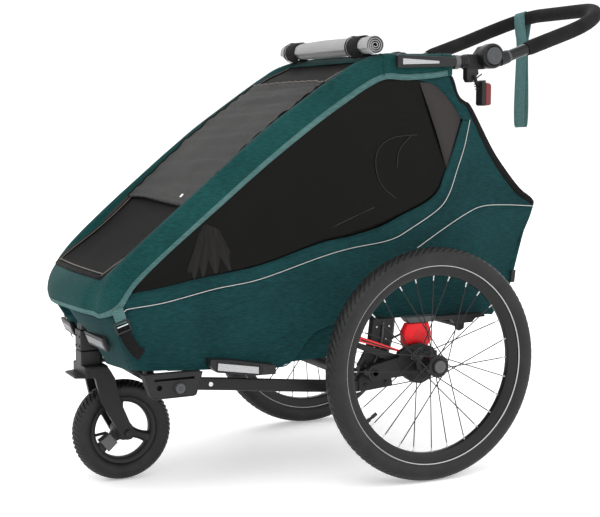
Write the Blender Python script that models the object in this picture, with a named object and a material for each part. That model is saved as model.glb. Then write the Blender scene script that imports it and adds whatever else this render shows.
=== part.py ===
"""Child bicycle trailer on three wheels, set up as a stroller.

The model stands on z = 0.  The nose points along -Y, the handlebar along +Y,
and +X is the trailer's left side.  Inside the script every place is given
from the point on the ground below the rear axle; one empty moves that point
to y = AXLE_Y, so that the whole trailer is centred on the origin.
"""
import bpy
import bmesh
from math import cos, sin, pi, radians
from mathutils import Vector

# Driving dimensions, metres.
AXLE_Y = 0.0885          # rear axle, behind the centre of the whole length
GAP = 0.0004              # clearance between pieces that touch

WHEEL_RADIUS = 0.250      # 47-406 tyre on a 20 inch rim
TYRE_HALF_WIDTH = 0.0235
WHEEL_X = 0.298           # half the track
RIM_OUTER = 0.2092
RIM_INNER = 0.1965
SPOKES_PER_SIDE = 12
PIN_RADIUS = 0.006
BORE_RADIUS = 0.0064

CASTER_Y = -0.660         # swivel axis of the front wheel
FRONT_AXLE_Y = -0.591
FRONT_RADIUS = 0.108
FRONT_TYRE_HALF_WIDTH = 0.024
FORK_LEG_X = 0.041
FORK_TOP_Z = 0.2855

FOLD_Y, FOLD_Z = -0.620, 0.405      # hinge of the upper frame at the nose
STAY_Y, STAY_Z = 0.165, 0.358       # hinge of the rear stays
HANDLE_Y, HANDLE_Z = 0.200, 0.904   # hinge of the handlebar
ARM_Y, ARM_Z = -0.117, 0.235        # pivot of the swing arms
PEDAL_Y, PEDAL_Z = 0.118, 0.318     # pivot of the parking-brake pedal

FRAME_TUBE = 0.0115       # tube radii
SIDE_TUBE = 0.0133
RAIL_TUBE = 0.0105
STAY_TUBE = 0.009
HANDLE_TUBE = 0.0125
GRIP_RADIUS = 0.0168

RAIL_X = 0.1905
STAY_X = 0.168
POST_X = 0.1665
HANDLE_X = 0.207
HOOD_X = 0.210            # outer face of the hood's side strips
SKIN_X = 0.2055           # outer face of the tub and the side curtains
HOOD_CLOTH = 0.0035
CLOTH = 0.003
WINDOW_X = 0.176          # edge of the window opening in the hood

GRIP_BAR_Y = 0.544        # rear bar of the handlebar
GRIP_CORNER = 0.121       # radius of its corners
GRIP_RISE = 0.347         # rise of its arms per metre of length

UP = Vector((0, 0, 1))
SIDEWAYS = Vector((1, 0, 0))

PAINTS = {
    "black_metal": ((0.018, 0.018, 0.020), 0.38, 0.6),
    "dark_plastic": ((0.022, 0.022, 0.024), 0.50, 0.0),
    "grey_plastic": ((0.16, 0.16, 0.17), 0.45, 0.0),
    "rubber": ((0.020, 0.020, 0.021), 0.85, 0.0),
    "foam": ((0.016, 0.016, 0.017), 0.92, 0.0),
    "teal_cloth": ((0.030, 0.110, 0.108), 0.90, 0.0),
    "dark_mesh": ((0.022, 0.022, 0.021), 0.80, 0.0),
    "grey_cloth": ((0.150, 0.150, 0.155), 0.85, 0.0),
    "seat_cloth": ((0.050, 0.052, 0.055), 0.90, 0.0),
    "webbing": ((0.110, 0.230, 0.220), 0.85, 0.0),
    "black_webbing": ((0.020, 0.020, 0.020), 0.85, 0.0),
    "red_rubber": ((0.720, 0.030, 0.030), 0.45, 0.0),
    "reflector": ((0.620, 0.620, 0.620), 0.25, 0.2),
}


# ---------------------------------------------------------------- helpers

def clear_scene():
    for old in list(bpy.data.objects):
        bpy.data.objects.remove(old, do_unlink=True)


def make_material(name):
    colour, roughness, metallic = PAINTS[name]
    paint = bpy.data.materials.get(name)
    if paint:
        return paint
    paint = bpy.data.materials.new(name)
    paint.use_nodes = True
    shader = paint.node_tree.nodes["Principled BSDF"]
    shader.inputs["Base Color"].default_value = (*colour, 1)
    shader.inputs["Roughness"].default_value = roughness
    shader.inputs["Metallic"].default_value = metallic
    return paint


def make_empty(name, point, parent=None):
    """An empty at a point given from the ground below the rear axle."""
    empty = bpy.data.objects.new(name, None)
    empty["point"] = point
    place = Vector(point)
    if parent:
        place -= Vector(parent["point"])
        empty.parent = parent
    empty.location = place
    bpy.context.collection.objects.link(empty)
    return empty


def finish(bm, name, paint, carrier):
    """Turn a bmesh into an object that rides on the empty carrier."""
    bmesh.ops.translate(bm, verts=bm.verts, vec=-Vector(carrier["point"]))
    bmesh.ops.recalc_face_normals(bm, faces=bm.faces)
    mesh = bpy.data.meshes.new(name)
    bm.to_mesh(mesh)
    bm.free()
    mesh.materials.append(make_material(paint))
    mesh.shade_smooth()
    mesh.set_sharp_from_angle(angle=radians(38))
    obj = bpy.data.objects.new(name, mesh)
    obj.parent = carrier
    bpy.context.collection.objects.link(obj)
    return obj


def guide(bm, name, carrier):
    """A shape that is only added to, or cut from, another object."""
    obj = finish(bm, name, "dark_plastic", carrier)
    obj.hide_render = True
    obj.display_type = "WIRE"
    return obj


def combine(obj, other, operation):
    modifier = obj.modifiers.new(operation.lower(), "BOOLEAN")
    modifier.operation = operation
    modifier.solver = "EXACT"
    modifier.object = other


def circle(radius, sides, start=0.0):
    turns = [start + 2 * pi * i / sides for i in range(sides)]
    return [(radius * cos(t), radius * sin(t)) for t in turns]


def strip(width, thickness):
    w, t = width / 2, thickness / 2
    return [(-w, -t), (w, -t), (w, t), (-w, t)]


def rows_to_bmesh(bm, rows, close_rows, close_ends):
    """Join rows of points by quads; each row is a closed loop."""
    loops = [[bm.verts.new(p) for p in row] for row in rows]
    count = len(loops)
    steps = count if close_rows else count - 1
    for i in range(steps):
        a, b = loops[i], loops[(i + 1) % count]
        for j in range(len(a)):
            k = (j + 1) % len(a)
            bm.faces.new((a[j], a[k], b[k], b[j]))
    if close_ends:
        bm.faces.new(loops[0][::-1])
        bm.faces.new(loops[-1])


def sweep(path, section, side=SIDEWAYS, closed=False, bm=None):
    """Carry a section along a path; its first axis stays close to side."""
    bm = bm or bmesh.new()
    points = [Vector(p) for p in path]
    count = len(points)
    rows = []
    for i, point in enumerate(points):
        before = points[(i - 1) % count] if closed or i > 0 else point
        after = points[(i + 1) % count] if closed or i < count - 1 else point
        along = (after - before).normalized()
        across = (side - along * side.dot(along)).normalized()
        lift = along.cross(across)
        side = across
        rows.append([point + across * a + lift * b for a, b in section])
    rows_to_bmesh(bm, rows, closed, not closed)
    return bm


def round_path(points, per_span=4):
    """A smooth Catmull-Rom curve through the given points."""
    pts = [Vector(p) for p in points]
    pts = [pts[0] * 2 - pts[1]] + pts + [pts[-1] * 2 - pts[-2]]
    out = []
    for i in range(1, len(pts) - 2):
        a, b, c, d = pts[i - 1:i + 3]
        for step in range(per_span):
            t = step / per_span
            curve = b * 2 + (c - a) * t + (a * 2 - b * 5 + c * 4 - d) * t ** 2
            curve += (b * 3 - a - c * 3 + d) * t ** 3
            out.append(curve / 2)
    out.append(pts[-2])
    return out


def revolve(profile, centre, segments, ring=True, axis="X", bm=None):
    """Turn a profile of (radius, along) about an axis through centre.

    A ring's profile is a closed loop; another profile starts and ends on the
    axis and its two end points are shared by all segments.
    """
    bm = bm or bmesh.new()
    centre = Vector(centre)

    def place(radius, along, turn):
        a, b = radius * cos(turn), radius * sin(turn)
        offset = Vector((along, a, b)) if axis == "X" else Vector((a, b, along))
        return centre + offset

    turns = [2 * pi * i / segments for i in range(segments)]
    if ring:
        rows = [[place(r, x, t) for r, x in profile] for t in turns]
        rows_to_bmesh(bm, rows, True, False)
        return bm
    first = bm.verts.new(place(*profile[0], 0))
    last = bm.verts.new(place(*profile[-1], 0))
    loops = [[bm.verts.new(place(r, x, t)) for t in turns] for r, x in profile[1:-1]]
    for i in range(segments):
        k = (i + 1) % segments
        bm.faces.new((first, loops[0][i], loops[0][k]))
        bm.faces.new((last, loops[-1][k], loops[-1][i]))
        for a, b in zip(loops, loops[1:]):
            bm.faces.new((a[i], b[i], b[k], a[k]))
    return bm


def disc(radius, x_low, x_high, centre, segments=24, bevel=0.0, bm=None):
    """A short cylinder along X; centre gives its y and z."""
    inward = bevel if x_high > x_low else -bevel
    profile = [(0, x_low), (radius - bevel, x_low)]
    if bevel:
        profile += [(radius, x_low + inward), (radius, x_high - inward)]
    profile += [(radius - bevel, x_high), (0, x_high)]
    return revolve(profile, (0, *centre), segments, ring=False, bm=bm)


def post(radius, z_low, z_high, centre, segments=20, bevel=0.001):
    """A short cylinder along Z; centre gives its x and y."""
    profile = [(0, z_low), (radius - bevel, z_low), (radius, z_low + bevel)]
    profile += [(radius, z_high - bevel), (radius - bevel, z_high), (0, z_high)]
    return revolve(profile, (*centre, 0), segments, ring=False, axis="Z")


def plate(outline, x_low, x_high, bm=None):
    """An outline in (y, z), extruded along X."""
    bm = bm or bmesh.new()
    rows = [[Vector((x, y, z)) for y, z in outline] for x in (x_low, x_high)]
    rows_to_bmesh(bm, rows, False, True)
    return bm


def block(low, high, bevel=0.0):
    bm = bmesh.new()
    bmesh.ops.create_cube(bm, size=1)
    size = Vector(high) - Vector(low)
    middle = (Vector(high) + Vector(low)) / 2
    bmesh.ops.scale(bm, verts=bm.verts, vec=size)
    bmesh.ops.translate(bm, verts=bm.verts, vec=middle)
    if bevel:
        bmesh.ops.bevel(bm, geom=bm.edges[:], offset=bevel, segments=2, affect="EDGES",
                        profile=0.5)
    return bm


def sheet(rows, thickness, inside, skip=None, wrap=False):
    """A closed solid sheet on a grid of points.

    The grid is its outer face; the inner face lies towards the point inside.
    skip(i, j) leaves cells out; wrap joins the last row to the first.
    """
    bm = bmesh.new()
    outer = [[Vector(p) for p in row] for row in rows]
    count, width = len(outer), len(outer[0])
    inside = Vector(inside)

    def neighbour(i, j, di, dj):
        i = (i + di) % count if wrap else min(max(i + di, 0), count - 1)
        return outer[i][min(max(j + dj, 0), width - 1)]

    inner = []
    for i in range(count):
        row = []
        for j in range(width):
            along = neighbour(i, j, 1, 0) - neighbour(i, j, -1, 0)
            across = neighbour(i, j, 0, 1) - neighbour(i, j, 0, -1)
            normal = along.cross(across).normalized()
            if normal.dot(inside - outer[i][j]) < 0:
                normal = -normal
            row.append(outer[i][j] + normal * thickness)
        inner.append(row)
    tops = [[bm.verts.new(p) for p in row] for row in outer]
    bottoms = [[bm.verts.new(p) for p in row] for row in inner]
    edges = {}
    last = count if wrap else count - 1
    for i in range(last):
        for j in range(width - 1):
            if skip and skip(i, j):
                continue
            k = (i + 1) % count
            cell = [(i, j), (i, j + 1), (k, j + 1), (k, j)]
            bm.faces.new([tops[a][b] for a, b in cell])
            bm.faces.new([bottoms[a][b] for a, b in reversed(cell)])
            for a, b in zip(cell, cell[1:] + cell[:1]):
                key = frozenset((a, b))
                edges[key] = None if key in edges else (a, b)
    for pair in edges.values():
        if pair:
            (a, b), (c, d) = pair
            bm.faces.new((tops[c][d], tops[a][b], bottoms[a][b], bottoms[c][d]))
    bmesh.ops.delete(bm, geom=[v for v in bm.verts if not v.link_faces], context="VERTS")
    return bm


def mirrored(path):
    return [(-x, y, z) for x, y, z in path]


# ---------------------------------------------------------------- carriers

def make_carriers():
    """One empty for each body, on its joint's axis."""
    base = make_empty("rear_axle_ground", (0, 0, 0))
    base.location = (0, AXLE_Y, 0)
    fold = make_empty("fold_hinge", (0, FOLD_Y, FOLD_Z), base)
    handle = make_empty("handlebar_hinge", (0, HANDLE_Y, HANDLE_Z), fold)
    caster = make_empty("caster_swivel", (0, CASTER_Y, FORK_TOP_Z), base)
    carriers = {
        "base": base,
        "fold": fold,
        "stays": make_empty("stay_hinge", (0, STAY_Y, STAY_Z), base),
        "handle": handle,
        "caster": caster,
        "front_wheel": make_empty("front_axle_line", (0, FRONT_AXLE_Y, FRONT_RADIUS), caster),
        "pedal": make_empty("pedal_hinge", (0, PEDAL_Y, PEDAL_Z), base),
    }
    for name, sign in (("left", 1), ("right", -1)):
        arm = make_empty(name + "_arm_pivot", (sign * WHEEL_X, ARM_Y, ARM_Z), base)
        wheel = make_empty(name + "_wheel_axis", (sign * WHEEL_X, 0, WHEEL_RADIUS), arm)
        carriers[name + "_arm"] = arm
        carriers[name + "_wheel"] = wheel
    return carriers


# ---------------------------------------------------------------- rear wheels

def make_rear_wheel(name, sign, carriers):
    wheel = carriers[name + "_wheel"]
    centre = (sign * WHEEL_X, 0, WHEEL_RADIUS)
    tyre = [(RIM_OUTER + GAP, -0.014), (RIM_OUTER + GAP, 0.014), (0.221, 0.0220),
            (0.233, TYRE_HALF_WIDTH), (0.244, 0.0160), (WHEEL_RADIUS, 0),
            (0.244, -0.0160), (0.233, -TYRE_HALF_WIDTH), (0.221, -0.0220)]
    finish(revolve(tyre, centre, 40), name + "_tyre", "rubber", wheel)
    rim = [(RIM_OUTER, -0.0135), (RIM_OUTER, 0.0135), (0.204, 0.0135),
           (RIM_INNER, 0.006), (RIM_INNER, -0.006), (0.204, -0.0135)]
    finish(revolve(rim, centre, 40), name + "_rim", "black_metal", wheel)
    hub = [(BORE_RADIUS, -0.032), (0.016, -0.032), (0.024, -0.028), (0.024, -0.0235),
           (0.015, -0.019), (0.015, 0.019), (0.024, 0.0235), (0.024, 0.0275),
           (0.0175, 0.0285), (0.0145, 0.0285), (0.0145, 0.0245), (BORE_RADIUS, 0.0245)]
    hub = [(r, sign * x) for r, x in hub]
    hub_object = finish(revolve(hub, centre, 16), name + "_hub_and_spokes", "black_metal", wheel)
    spokes = bmesh.new()
    for side in (-1, 1):
        for i in range(SPOKES_PER_SIDE):
            turn = 2 * pi * (i + (side + 1) / 4) / SPOKES_PER_SIDE
            lean = radians(7) * (1 if i % 2 else -1)
            ends = []
            for radius, x, angle in ((0.019, side * 0.0255, turn), (RIM_INNER - 0.0012, 0, turn + lean)):
                spot = Vector((x, radius * cos(angle), radius * sin(angle)))
                ends.append(Vector(centre) + spot)
            sweep(ends, circle(0.0011, 4), bm=spokes)
    combine(hub_object, guide(spokes, name + "_spoke_guide", wheel), "UNION")
    make_quick_release(name, sign, wheel)


def make_quick_release(name, sign, wheel):
    """The axle pin and its push button, which slide together."""
    x = sign * 0.298
    profile = [(0, -0.054), (PIN_RADIUS, -0.054), (PIN_RADIUS, 0.0292), (0.012, 0.0292),
               (0.0135, 0.031), (0.0135, 0.0345), (0.012, 0.0360), (0, 0.0360)]
    profile = [(r, sign * a) for r, a in profile]
    pin = revolve(profile, (x, 0, WHEEL_RADIUS), 16, ring=False)
    finish(pin, name + "_quick_release", "grey_plastic", wheel)


# ---------------------------------------------------------------- suspension

def make_rear_frame(carriers):
    """The welded cross frame that carries both swing arms."""
    base = carriers["base"]
    beam = sweep([(-0.2200, ARM_Y, 0.2150), (0.2200, ARM_Y, 0.2150)], circle(0.014, 12),
                 side=Vector((0, 1, 0)))
    frame = finish(beam, "rear_frame", "black_metal", base)
    bar = sweep([(-0.2200, PEDAL_Y, PEDAL_Z), (0.2200, PEDAL_Y, PEDAL_Z)], circle(0.009, 12),
                side=Vector((0, 1, 0)))
    combine(frame, guide(bar, "rear_cross_bar_guide", base), "UNION")
    return frame


def make_suspension(name, sign, carriers, frame):
    base = carriers["base"]
    hanger = [(-0.140, 0.195), (-0.095, 0.195), (-0.095, 0.3305), (0.072, 0.3305),
              (0.080, 0.322), (0.155, 0.322), (0.160, 0.338), (-0.140, 0.340)]
    hanger = plate(hanger, sign * 0.215, sign * 0.238)
    combine(frame, guide(hanger, name + "_hanger_guide", base), "UNION")
    pin = disc(PIN_RADIUS, sign * 0.230, sign * 0.2640, (ARM_Y, ARM_Z), 16)
    combine(frame, guide(pin, name + "_pivot_pin", base), "UNION")

    arm_carrier = carriers[name + "_arm"]
    eye = [(ARM_Y + 0.017 * cos(t), ARM_Z + 0.017 * sin(t))
           for t in (radians(100 + 20 * i) for i in range(9))]
    boss = [(0.026 * cos(t), WHEEL_RADIUS + 0.026 * sin(t))
            for t in (radians(-80 + 20 * i) for i in range(9))]
    arm = finish(plate(eye + boss, sign * 0.244, sign * 0.2615), name + "_swing_arm",
                 "black_metal", arm_carrier)
    shelf = block((min(sign * 0.217, sign * 0.2615), -0.036, 0.2600),
                  (max(sign * 0.217, sign * 0.2615), 0.036, 0.2715), 0.002)
    combine(arm, guide(shelf, name + "_spring_shelf", arm_carrier), "UNION")
    for label, y, z in (("pivot", ARM_Y, ARM_Z), ("axle", 0, WHEEL_RADIUS)):
        bore = disc(BORE_RADIUS, sign * 0.235, sign * 0.270, (y, z), 16)
        combine(arm, guide(bore, name + "_arm_" + label + "_bore", arm_carrier), "DIFFERENCE")

    barrel = [(-0.026, 0.272), (0.030, 0.272), (0.0355, 0.290), (0.0355, 0.308), (0.028, 0.3300),
              (-0.024, 0.3300), (-0.033, 0.310), (-0.034, 0.290)]
    finish(plate(barrel, sign * 0.2175, sign * 0.2400), name + "_elastomer", "red_rubber", base)


# ---------------------------------------------------------------- lower frame

def make_lower_frame(carriers):
    base = carriers["base"]
    for name, sign in (("left", 1), ("right", -1)):
        path = [(0.2095, -0.4825, 0.2360), (0.2130, -0.3650, 0.2235),
                (0.2220, -0.2030, 0.2080), (0.2265, -0.1425, 0.2035)]
        path = [(sign * x, y, z) for x, y, z in path]
        tube = sweep(round_path(path, 3), circle(SIDE_TUBE, 10, radians(18)))
        finish(tube, name + "_side_tube", "black_metal", base)
        make_front_bracket(name, sign, base)
        make_lower_reflector(name, sign, base)
        make_front_reflector(name, sign, base)

    hoop = sweep([(-0.1955, -0.585, 0.250), (0.1955, -0.585, 0.250)],
                 circle(FRAME_TUBE, 12), side=Vector((0, 1, 0)))
    hoop = finish(hoop, "front_hoop", "black_metal", base)
    for sign in (1, -1):
        upright = sweep([(sign * POST_X, -0.585, 0.250), (sign * POST_X, -0.600, 0.330),
                         (sign * POST_X, FOLD_Y, FOLD_Z + 0.012)], circle(FRAME_TUBE, 12))
        combine(hoop, guide(upright, "nose_post_guide", base), "UNION")
        pin = disc(PIN_RADIUS, sign * POST_X, sign * 0.2000, (FOLD_Y, FOLD_Z), 16)
        combine(hoop, guide(pin, "nose_pin_guide", base), "UNION")

    tube = sweep([(-0.1586, STAY_Y, STAY_Z), (0.1586, STAY_Y, STAY_Z)], circle(0.010, 12),
                 side=Vector((0, 1, 0)))
    tube = finish(tube, "stay_cross_tube", "black_metal", base)
    pin = disc(PIN_RADIUS, -0.1790, 0.1790, (STAY_Y, STAY_Z), 16)
    combine(tube, guide(pin, "stay_pin_guide", base), "UNION")

    floor = [(-0.570, 0.2750), (-0.440, 0.2720), (-0.300, 0.2680), (-0.262, 0.2900),
             (-0.240, 0.3420), (-0.100, 0.3440), (0.060, 0.3400), (0.208, 0.3360)]
    rows = [[(x, y, z) for x in (-0.2015, -0.1, 0, 0.1, 0.2015)] for y, z in floor]
    finish(sheet(rows, 0.004, (0, -0.3, -1)), "floor_pan", "dark_plastic", base)


def make_front_bracket(name, sign, base):
    """The plate at the front of a side tube; the left one takes the drawbar."""
    outline = [(-0.620, 0.2620), (-0.604, 0.2660), (-0.485, 0.2610), (-0.485, 0.2220),
               (-0.505, 0.2160), (-0.605, 0.2220), (-0.620, 0.2280)]
    bracket = finish(plate(outline, sign * 0.1960, sign * 0.2220), name + "_front_bracket",
                     "dark_plastic", base)
    slot = block((0.2, -0.598, 0.2520), (0.230, -0.512, 0.2560))
    if sign < 0:
        bmesh.ops.translate(slot, verts=slot.verts, vec=(-0.43, 0, 0))
    combine(bracket, guide(slot, name + "_slot_guide", base), "DIFFERENCE")
    hole = disc(0.0055, sign * 0.205, sign * 0.230, (-0.5840, 0.2380), 12)
    combine(bracket, guide(hole, name + "_hole_guide", base), "DIFFERENCE")
    if sign > 0:
        socket = disc(0.0074, 0.206, 0.230, (-0.5410, 0.2350), 12)
        combine(bracket, guide(socket, "knob_socket_guide", base), "DIFFERENCE")
        profile = [(0, 0.2100), (0.0070, 0.2100), (0.0070, 0.2232), (0.0100, 0.2232),
                   (0.0110, 0.2245), (0.0110, 0.2290), (0.0095, 0.2305), (0, 0.2305)]
        knob = revolve(profile, (0, -0.5410, 0.2350), 12, ring=False)
        finish(knob, "drawbar_release_knob", "grey_plastic", base)


def make_lower_reflector(name, sign, base):
    outline = [(-0.480, 0.2760), (-0.478, 0.2890), (-0.335, 0.2640), (-0.335, 0.2470),
               (-0.465, 0.2620)]
    body = plate(outline, sign * 0.2062, sign * 0.2380)
    finish(body, name + "_side_reflector", "reflector", base)


def make_front_reflector(name, sign, base):
    """A box on the slanting front of the nose panel."""
    x_low, x_high = sorted((sign * 0.055, sign * 0.165))
    outline = [(-0.6708, 0.3010), (-0.6920, 0.3340), (-0.6985, 0.3300), (-0.6773, 0.2970)]
    finish(plate(outline, x_low, x_high), name + "_front_reflector", "reflector", base)


def make_caster(carriers):
    base = carriers["base"]
    arm = [(CASTER_Y, 0.2875), (-0.598, 0.2875), (-0.594, 0.2622), (-0.575, 0.2622),
           (-0.575, 0.3000), (-0.590, 0.3150), (CASTER_Y, 0.3330)]
    mount = finish(post(0.021, FORK_TOP_Z + GAP + 0.001, 0.3480, (0, CASTER_Y)),
                   "caster_mount", "dark_plastic", base)
    combine(mount, guide(plate(arm, -0.016, 0.016), "caster_arm_guide", base), "UNION")
    lock = revolve([(0, 0.3484), (0.008, 0.3484), (0.008, 0.3560), (0.0125, 0.3580),
                    (0.0125, 0.3660), (0.010, 0.3680), (0, 0.3680)], (0, CASTER_Y, 0), 12,
                   ring=False, axis="Z")
    finish(lock, "caster_lock_knob", "grey_plastic", base)

    fork_carrier = carriers["caster"]
    crown = block((-0.047, -0.682, 0.2480), (0.047, -0.638, FORK_TOP_Z), 0.004)
    fork = finish(crown, "caster_fork", "dark_plastic", fork_carrier)
    tip = [(FRONT_AXLE_Y + 0.014 * cos(t), FRONT_RADIUS + 0.014 * sin(t))
           for t in (radians(200 + 20 * i) for i in range(10))]
    leg = [(-0.640, 0.2760), (-0.676, 0.2760), (-0.672, 0.2350)] + tip + [(-0.630, 0.2350)]
    for sign in (1, -1):
        side = plate(leg, sign * (FORK_LEG_X - 0.006), sign * (FORK_LEG_X + 0.006))
        combine(fork, guide(side, "fork_leg_guide", fork_carrier), "UNION")
    bore = disc(0.0055, -0.06, 0.06, (FRONT_AXLE_Y, FRONT_RADIUS), 12)
    combine(fork, guide(bore, "fork_bore_guide", fork_carrier), "DIFFERENCE")
    bolt = [(0, -0.0530), (0.008, -0.0530), (0.008, -0.0474), (0.005, -0.0474),
            (0.005, 0.0474), (0.008, 0.0474), (0.008, 0.0530), (0, 0.0530)]
    bolt = revolve(bolt, (0, FRONT_AXLE_Y, FRONT_RADIUS), 12, ring=False)
    finish(bolt, "front_axle_bolt", "black_metal", fork_carrier)
    make_front_wheel(carriers["front_wheel"])


def make_front_wheel(wheel):
    centre = (0, FRONT_AXLE_Y, FRONT_RADIUS)
    tyre = [(0.0705, -0.015), (0.0705, 0.015), (0.080, 0.0225), (0.088, FRONT_TYRE_HALF_WIDTH),
            (0.102, 0.0160), (FRONT_RADIUS, 0), (0.102, -0.0160),
            (0.088, -FRONT_TYRE_HALF_WIDTH), (0.080, -0.0225)]
    finish(revolve(tyre, centre, 32), "front_tyre", "rubber", wheel)
    rim = [(0.0700, -0.016), (0.0700, 0.016), (0.0600, 0.014), (0.0600, -0.014)]
    rim = finish(revolve(rim, centre, 32), "front_rim", "dark_plastic", wheel)
    hub = revolve([(0.0054, -0.0300), (0.0054, 0.0300), (0.016, 0.0300), (0.020, 0.020),
                   (0.020, -0.020), (0.016, -0.0300)], centre, 16)
    spokes = bmesh.new()
    for i in range(3):
        turn = radians(90 + 120 * i)
        ends = [Vector(centre) + Vector((0, r * cos(turn), r * sin(turn))) for r in (0.017, 0.064)]
        sweep(ends, strip(0.022, 0.020), bm=spokes)
    combine(rim, guide(spokes, "front_spoke_guide", wheel), "UNION")
    combine(rim, guide(hub, "front_hub_guide", wheel), "UNION")


def make_brake(carriers):
    pedal = carriers["pedal"]
    sleeve = [(0.0094, -0.030), (0.0094, 0.030), (0.0130, 0.030), (0.0130, -0.030)]
    sleeve = revolve(sleeve, (0, PEDAL_Y, PEDAL_Z), 20)
    pedal_object = finish(sleeve, "parking_brake_pedal", "red_rubber", pedal)
    pad = [(0.1290, 0.3080), (0.1290, 0.3160), (0.1600, 0.3180), (0.2000, 0.3120),
           (0.2000, 0.3040), (0.1600, 0.3080)]
    combine(pedal_object, guide(plate(pad, -0.042, 0.042), "pedal_pad_guide", pedal), "UNION")
    route = [(0.045, 0.104, 0.306), (0.080, 0.070, 0.298), (0.135, 0.020, 0.290),
             (0.185, -0.040, 0.288), (0.2045, -0.085, 0.272), (0.2115, -0.105, 0.252)]
    cable = sweep(round_path(route, 3), circle(0.0025, 6))
    finish(cable, "brake_cable", "rubber", carriers["base"])


# ---------------------------------------------------------------- upper frame

def rail_path(sign):
    spine = [(-0.6200, 0.4130), (-0.6250, 0.4500), (-0.6170, 0.4960), (-0.5500, 0.5580),
             (-0.4540, 0.6380), (-0.3450, 0.7250), (-0.2410, 0.7960), (-0.1690, 0.8420),
             (-0.1210, 0.8680), (-0.0620, 0.8845), (0.0000, 0.8870), (0.1255, 0.8895)]
    return [(sign * RAIL_X, y, z) for y, z in spine]


def make_upper_frame(carriers):
    fold = carriers["fold"]
    for name, sign in (("left", 1), ("right", -1)):
        rail = sweep(rail_path(sign), circle(RAIL_TUBE, 10))
        rail = finish(rail, name + "_roof_rail", "black_metal", fold)
        eye = disc(0.014, sign * 0.1845, sign * 0.1965, (FOLD_Y, FOLD_Z), 16)
        combine(rail, guide(eye, name + "_eye_guide", fold), "UNION")
        bore = disc(BORE_RADIUS, sign * 0.176, sign * 0.206, (FOLD_Y, FOLD_Z), 12)
        combine(rail, guide(bore, name + "_eye_bore_guide", fold), "DIFFERENCE")

        path = [(sign * RAIL_X, 0.1150, 0.8893), (sign * 0.187, 0.1460, 0.8905),
                (sign * 0.1800, 0.1660, 0.8960), (sign * 0.1800, 0.1900, 0.9020)]
        link = sweep(round_path(path, 2), circle(0.0095, 10))
        combine(rail, guide(link, name + "_link_guide", fold), "UNION")
        knuckle = disc(0.0255, sign * 0.171, sign * 0.1922, (HANDLE_Y, HANDLE_Z), 24)
        combine(rail, guide(knuckle, name + "_knuckle_guide", fold), "UNION")

        x_low, x_high = sign * (HOOD_X + GAP), sign * 0.2220
        outline = [(-0.043, 0.9020), (-0.044, 0.8860), (0.092, 0.8730), (0.101, 0.8830),
                   (0.098, 0.8980)]
        finish(plate(outline, x_low, x_high), name + "_rail_reflector", "reflector", fold)

    stays = carriers["stays"]
    for name, sign in (("left", 1), ("right", -1)):
        path = [(sign * STAY_X, STAY_Y, STAY_Z + 0.006), (sign * STAY_X, 0.150, 0.600),
                (sign * STAY_X, 0.108, 0.750), (sign * STAY_X, 0.086, 0.8225)]
        stay = sweep(round_path(path, 2), circle(STAY_TUBE, 10))
        stay = finish(stay, name + "_rear_stay", "black_metal", stays)
        eye = disc(0.0115, sign * 0.1595, sign * 0.1770, (STAY_Y, STAY_Z), 16)
        combine(stay, guide(eye, name + "_stay_eye_guide", stays), "UNION")
        bore = disc(BORE_RADIUS, sign * 0.150, sign * 0.185, (STAY_Y, STAY_Z), 12)
        combine(stay, guide(bore, name + "_stay_bore_guide", stays), "DIFFERENCE")

    body = block((0.2120, 0.1510, 0.7950), (0.2400, 0.1810, 0.8480), 0.004)
    light = finish(body, "rear_light", "dark_plastic", fold)
    strap = plate([(0.1530, 0.8300), (0.1600, 0.8300), (0.1520, 0.8750), (0.1430, 0.8750)],
                  0.2125, 0.2200)
    combine(light, guide(strap, "light_clip_guide", fold), "UNION")


# ---------------------------------------------------------------- handlebar

def handle_height(y):
    """Height of the handlebar's centre line."""
    bend = max(0.0, y - (GRIP_BAR_Y - GRIP_CORNER - 0.03))
    return 0.924 + GRIP_RISE * (y - 0.3) + 0.596 * bend ** 2


def handle_path(start_y, corner_steps=5):
    """The centre line from the left arm, round the rear bar, to the right arm."""
    corner_y = GRIP_BAR_Y - GRIP_CORNER
    half = [(HANDLE_X, start_y), (HANDLE_X, (start_y + corner_y) / 2), (HANDLE_X, corner_y)]
    for i in range(1, corner_steps + 1):
        turn = pi / 2 * i / corner_steps
        x = HANDLE_X - GRIP_CORNER + GRIP_CORNER * cos(turn)
        half.append((x, corner_y + GRIP_CORNER * sin(turn)))
    left = [(x, y, handle_height(y)) for x, y in half]
    return left + mirrored(reversed(left))


def make_handlebar(carriers):
    handle = carriers["handle"]
    tube = sweep(handle_path(0.232), circle(HANDLE_TUBE, 10))
    finish(tube, "handle_tube", "black_metal", handle)

    path = handle_path(0.292)
    outer = sweep(path, circle(GRIP_RADIUS, 10))
    grip = finish(outer, "foam_grip", "foam", handle)
    first = Vector(path[0]) * 2 - Vector(path[1])
    last = Vector(path[-1]) * 2 - Vector(path[-2])
    bore = sweep([first] + path + [last], circle(HANDLE_TUBE + 0.0005, 10))
    combine(grip, guide(bore, "grip_bore_guide", handle), "DIFFERENCE")

    for name, sign in (("left", 1), ("right", -1)):
        hub = disc(0.0275, sign * 0.1930, sign * 0.2175, (HANDLE_Y, HANDLE_Z), 24, 0.002)
        hub = finish(hub, name + "_handle_hub", "dark_plastic", handle)
        socket = sweep([(sign * HANDLE_X, y, handle_height(y)) for y in (0.2050, 0.2314)],
                       circle(0.0135, 10))
        combine(hub, guide(socket, name + "_socket_guide", handle), "UNION")
        pocket = disc(0.0200, sign * 0.2050, sign * 0.2300, (HANDLE_Y, HANDLE_Z), 24)
        combine(hub, guide(pocket, name + "_pocket_guide", handle), "DIFFERENCE")
        button = disc(0.0194, sign * 0.2105, sign * 0.2235, (HANDLE_Y, HANDLE_Z), 24, 0.0015)
        finish(button, name + "_handle_button", "grey_plastic", handle)

    make_wrist_strap(handle)


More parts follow.
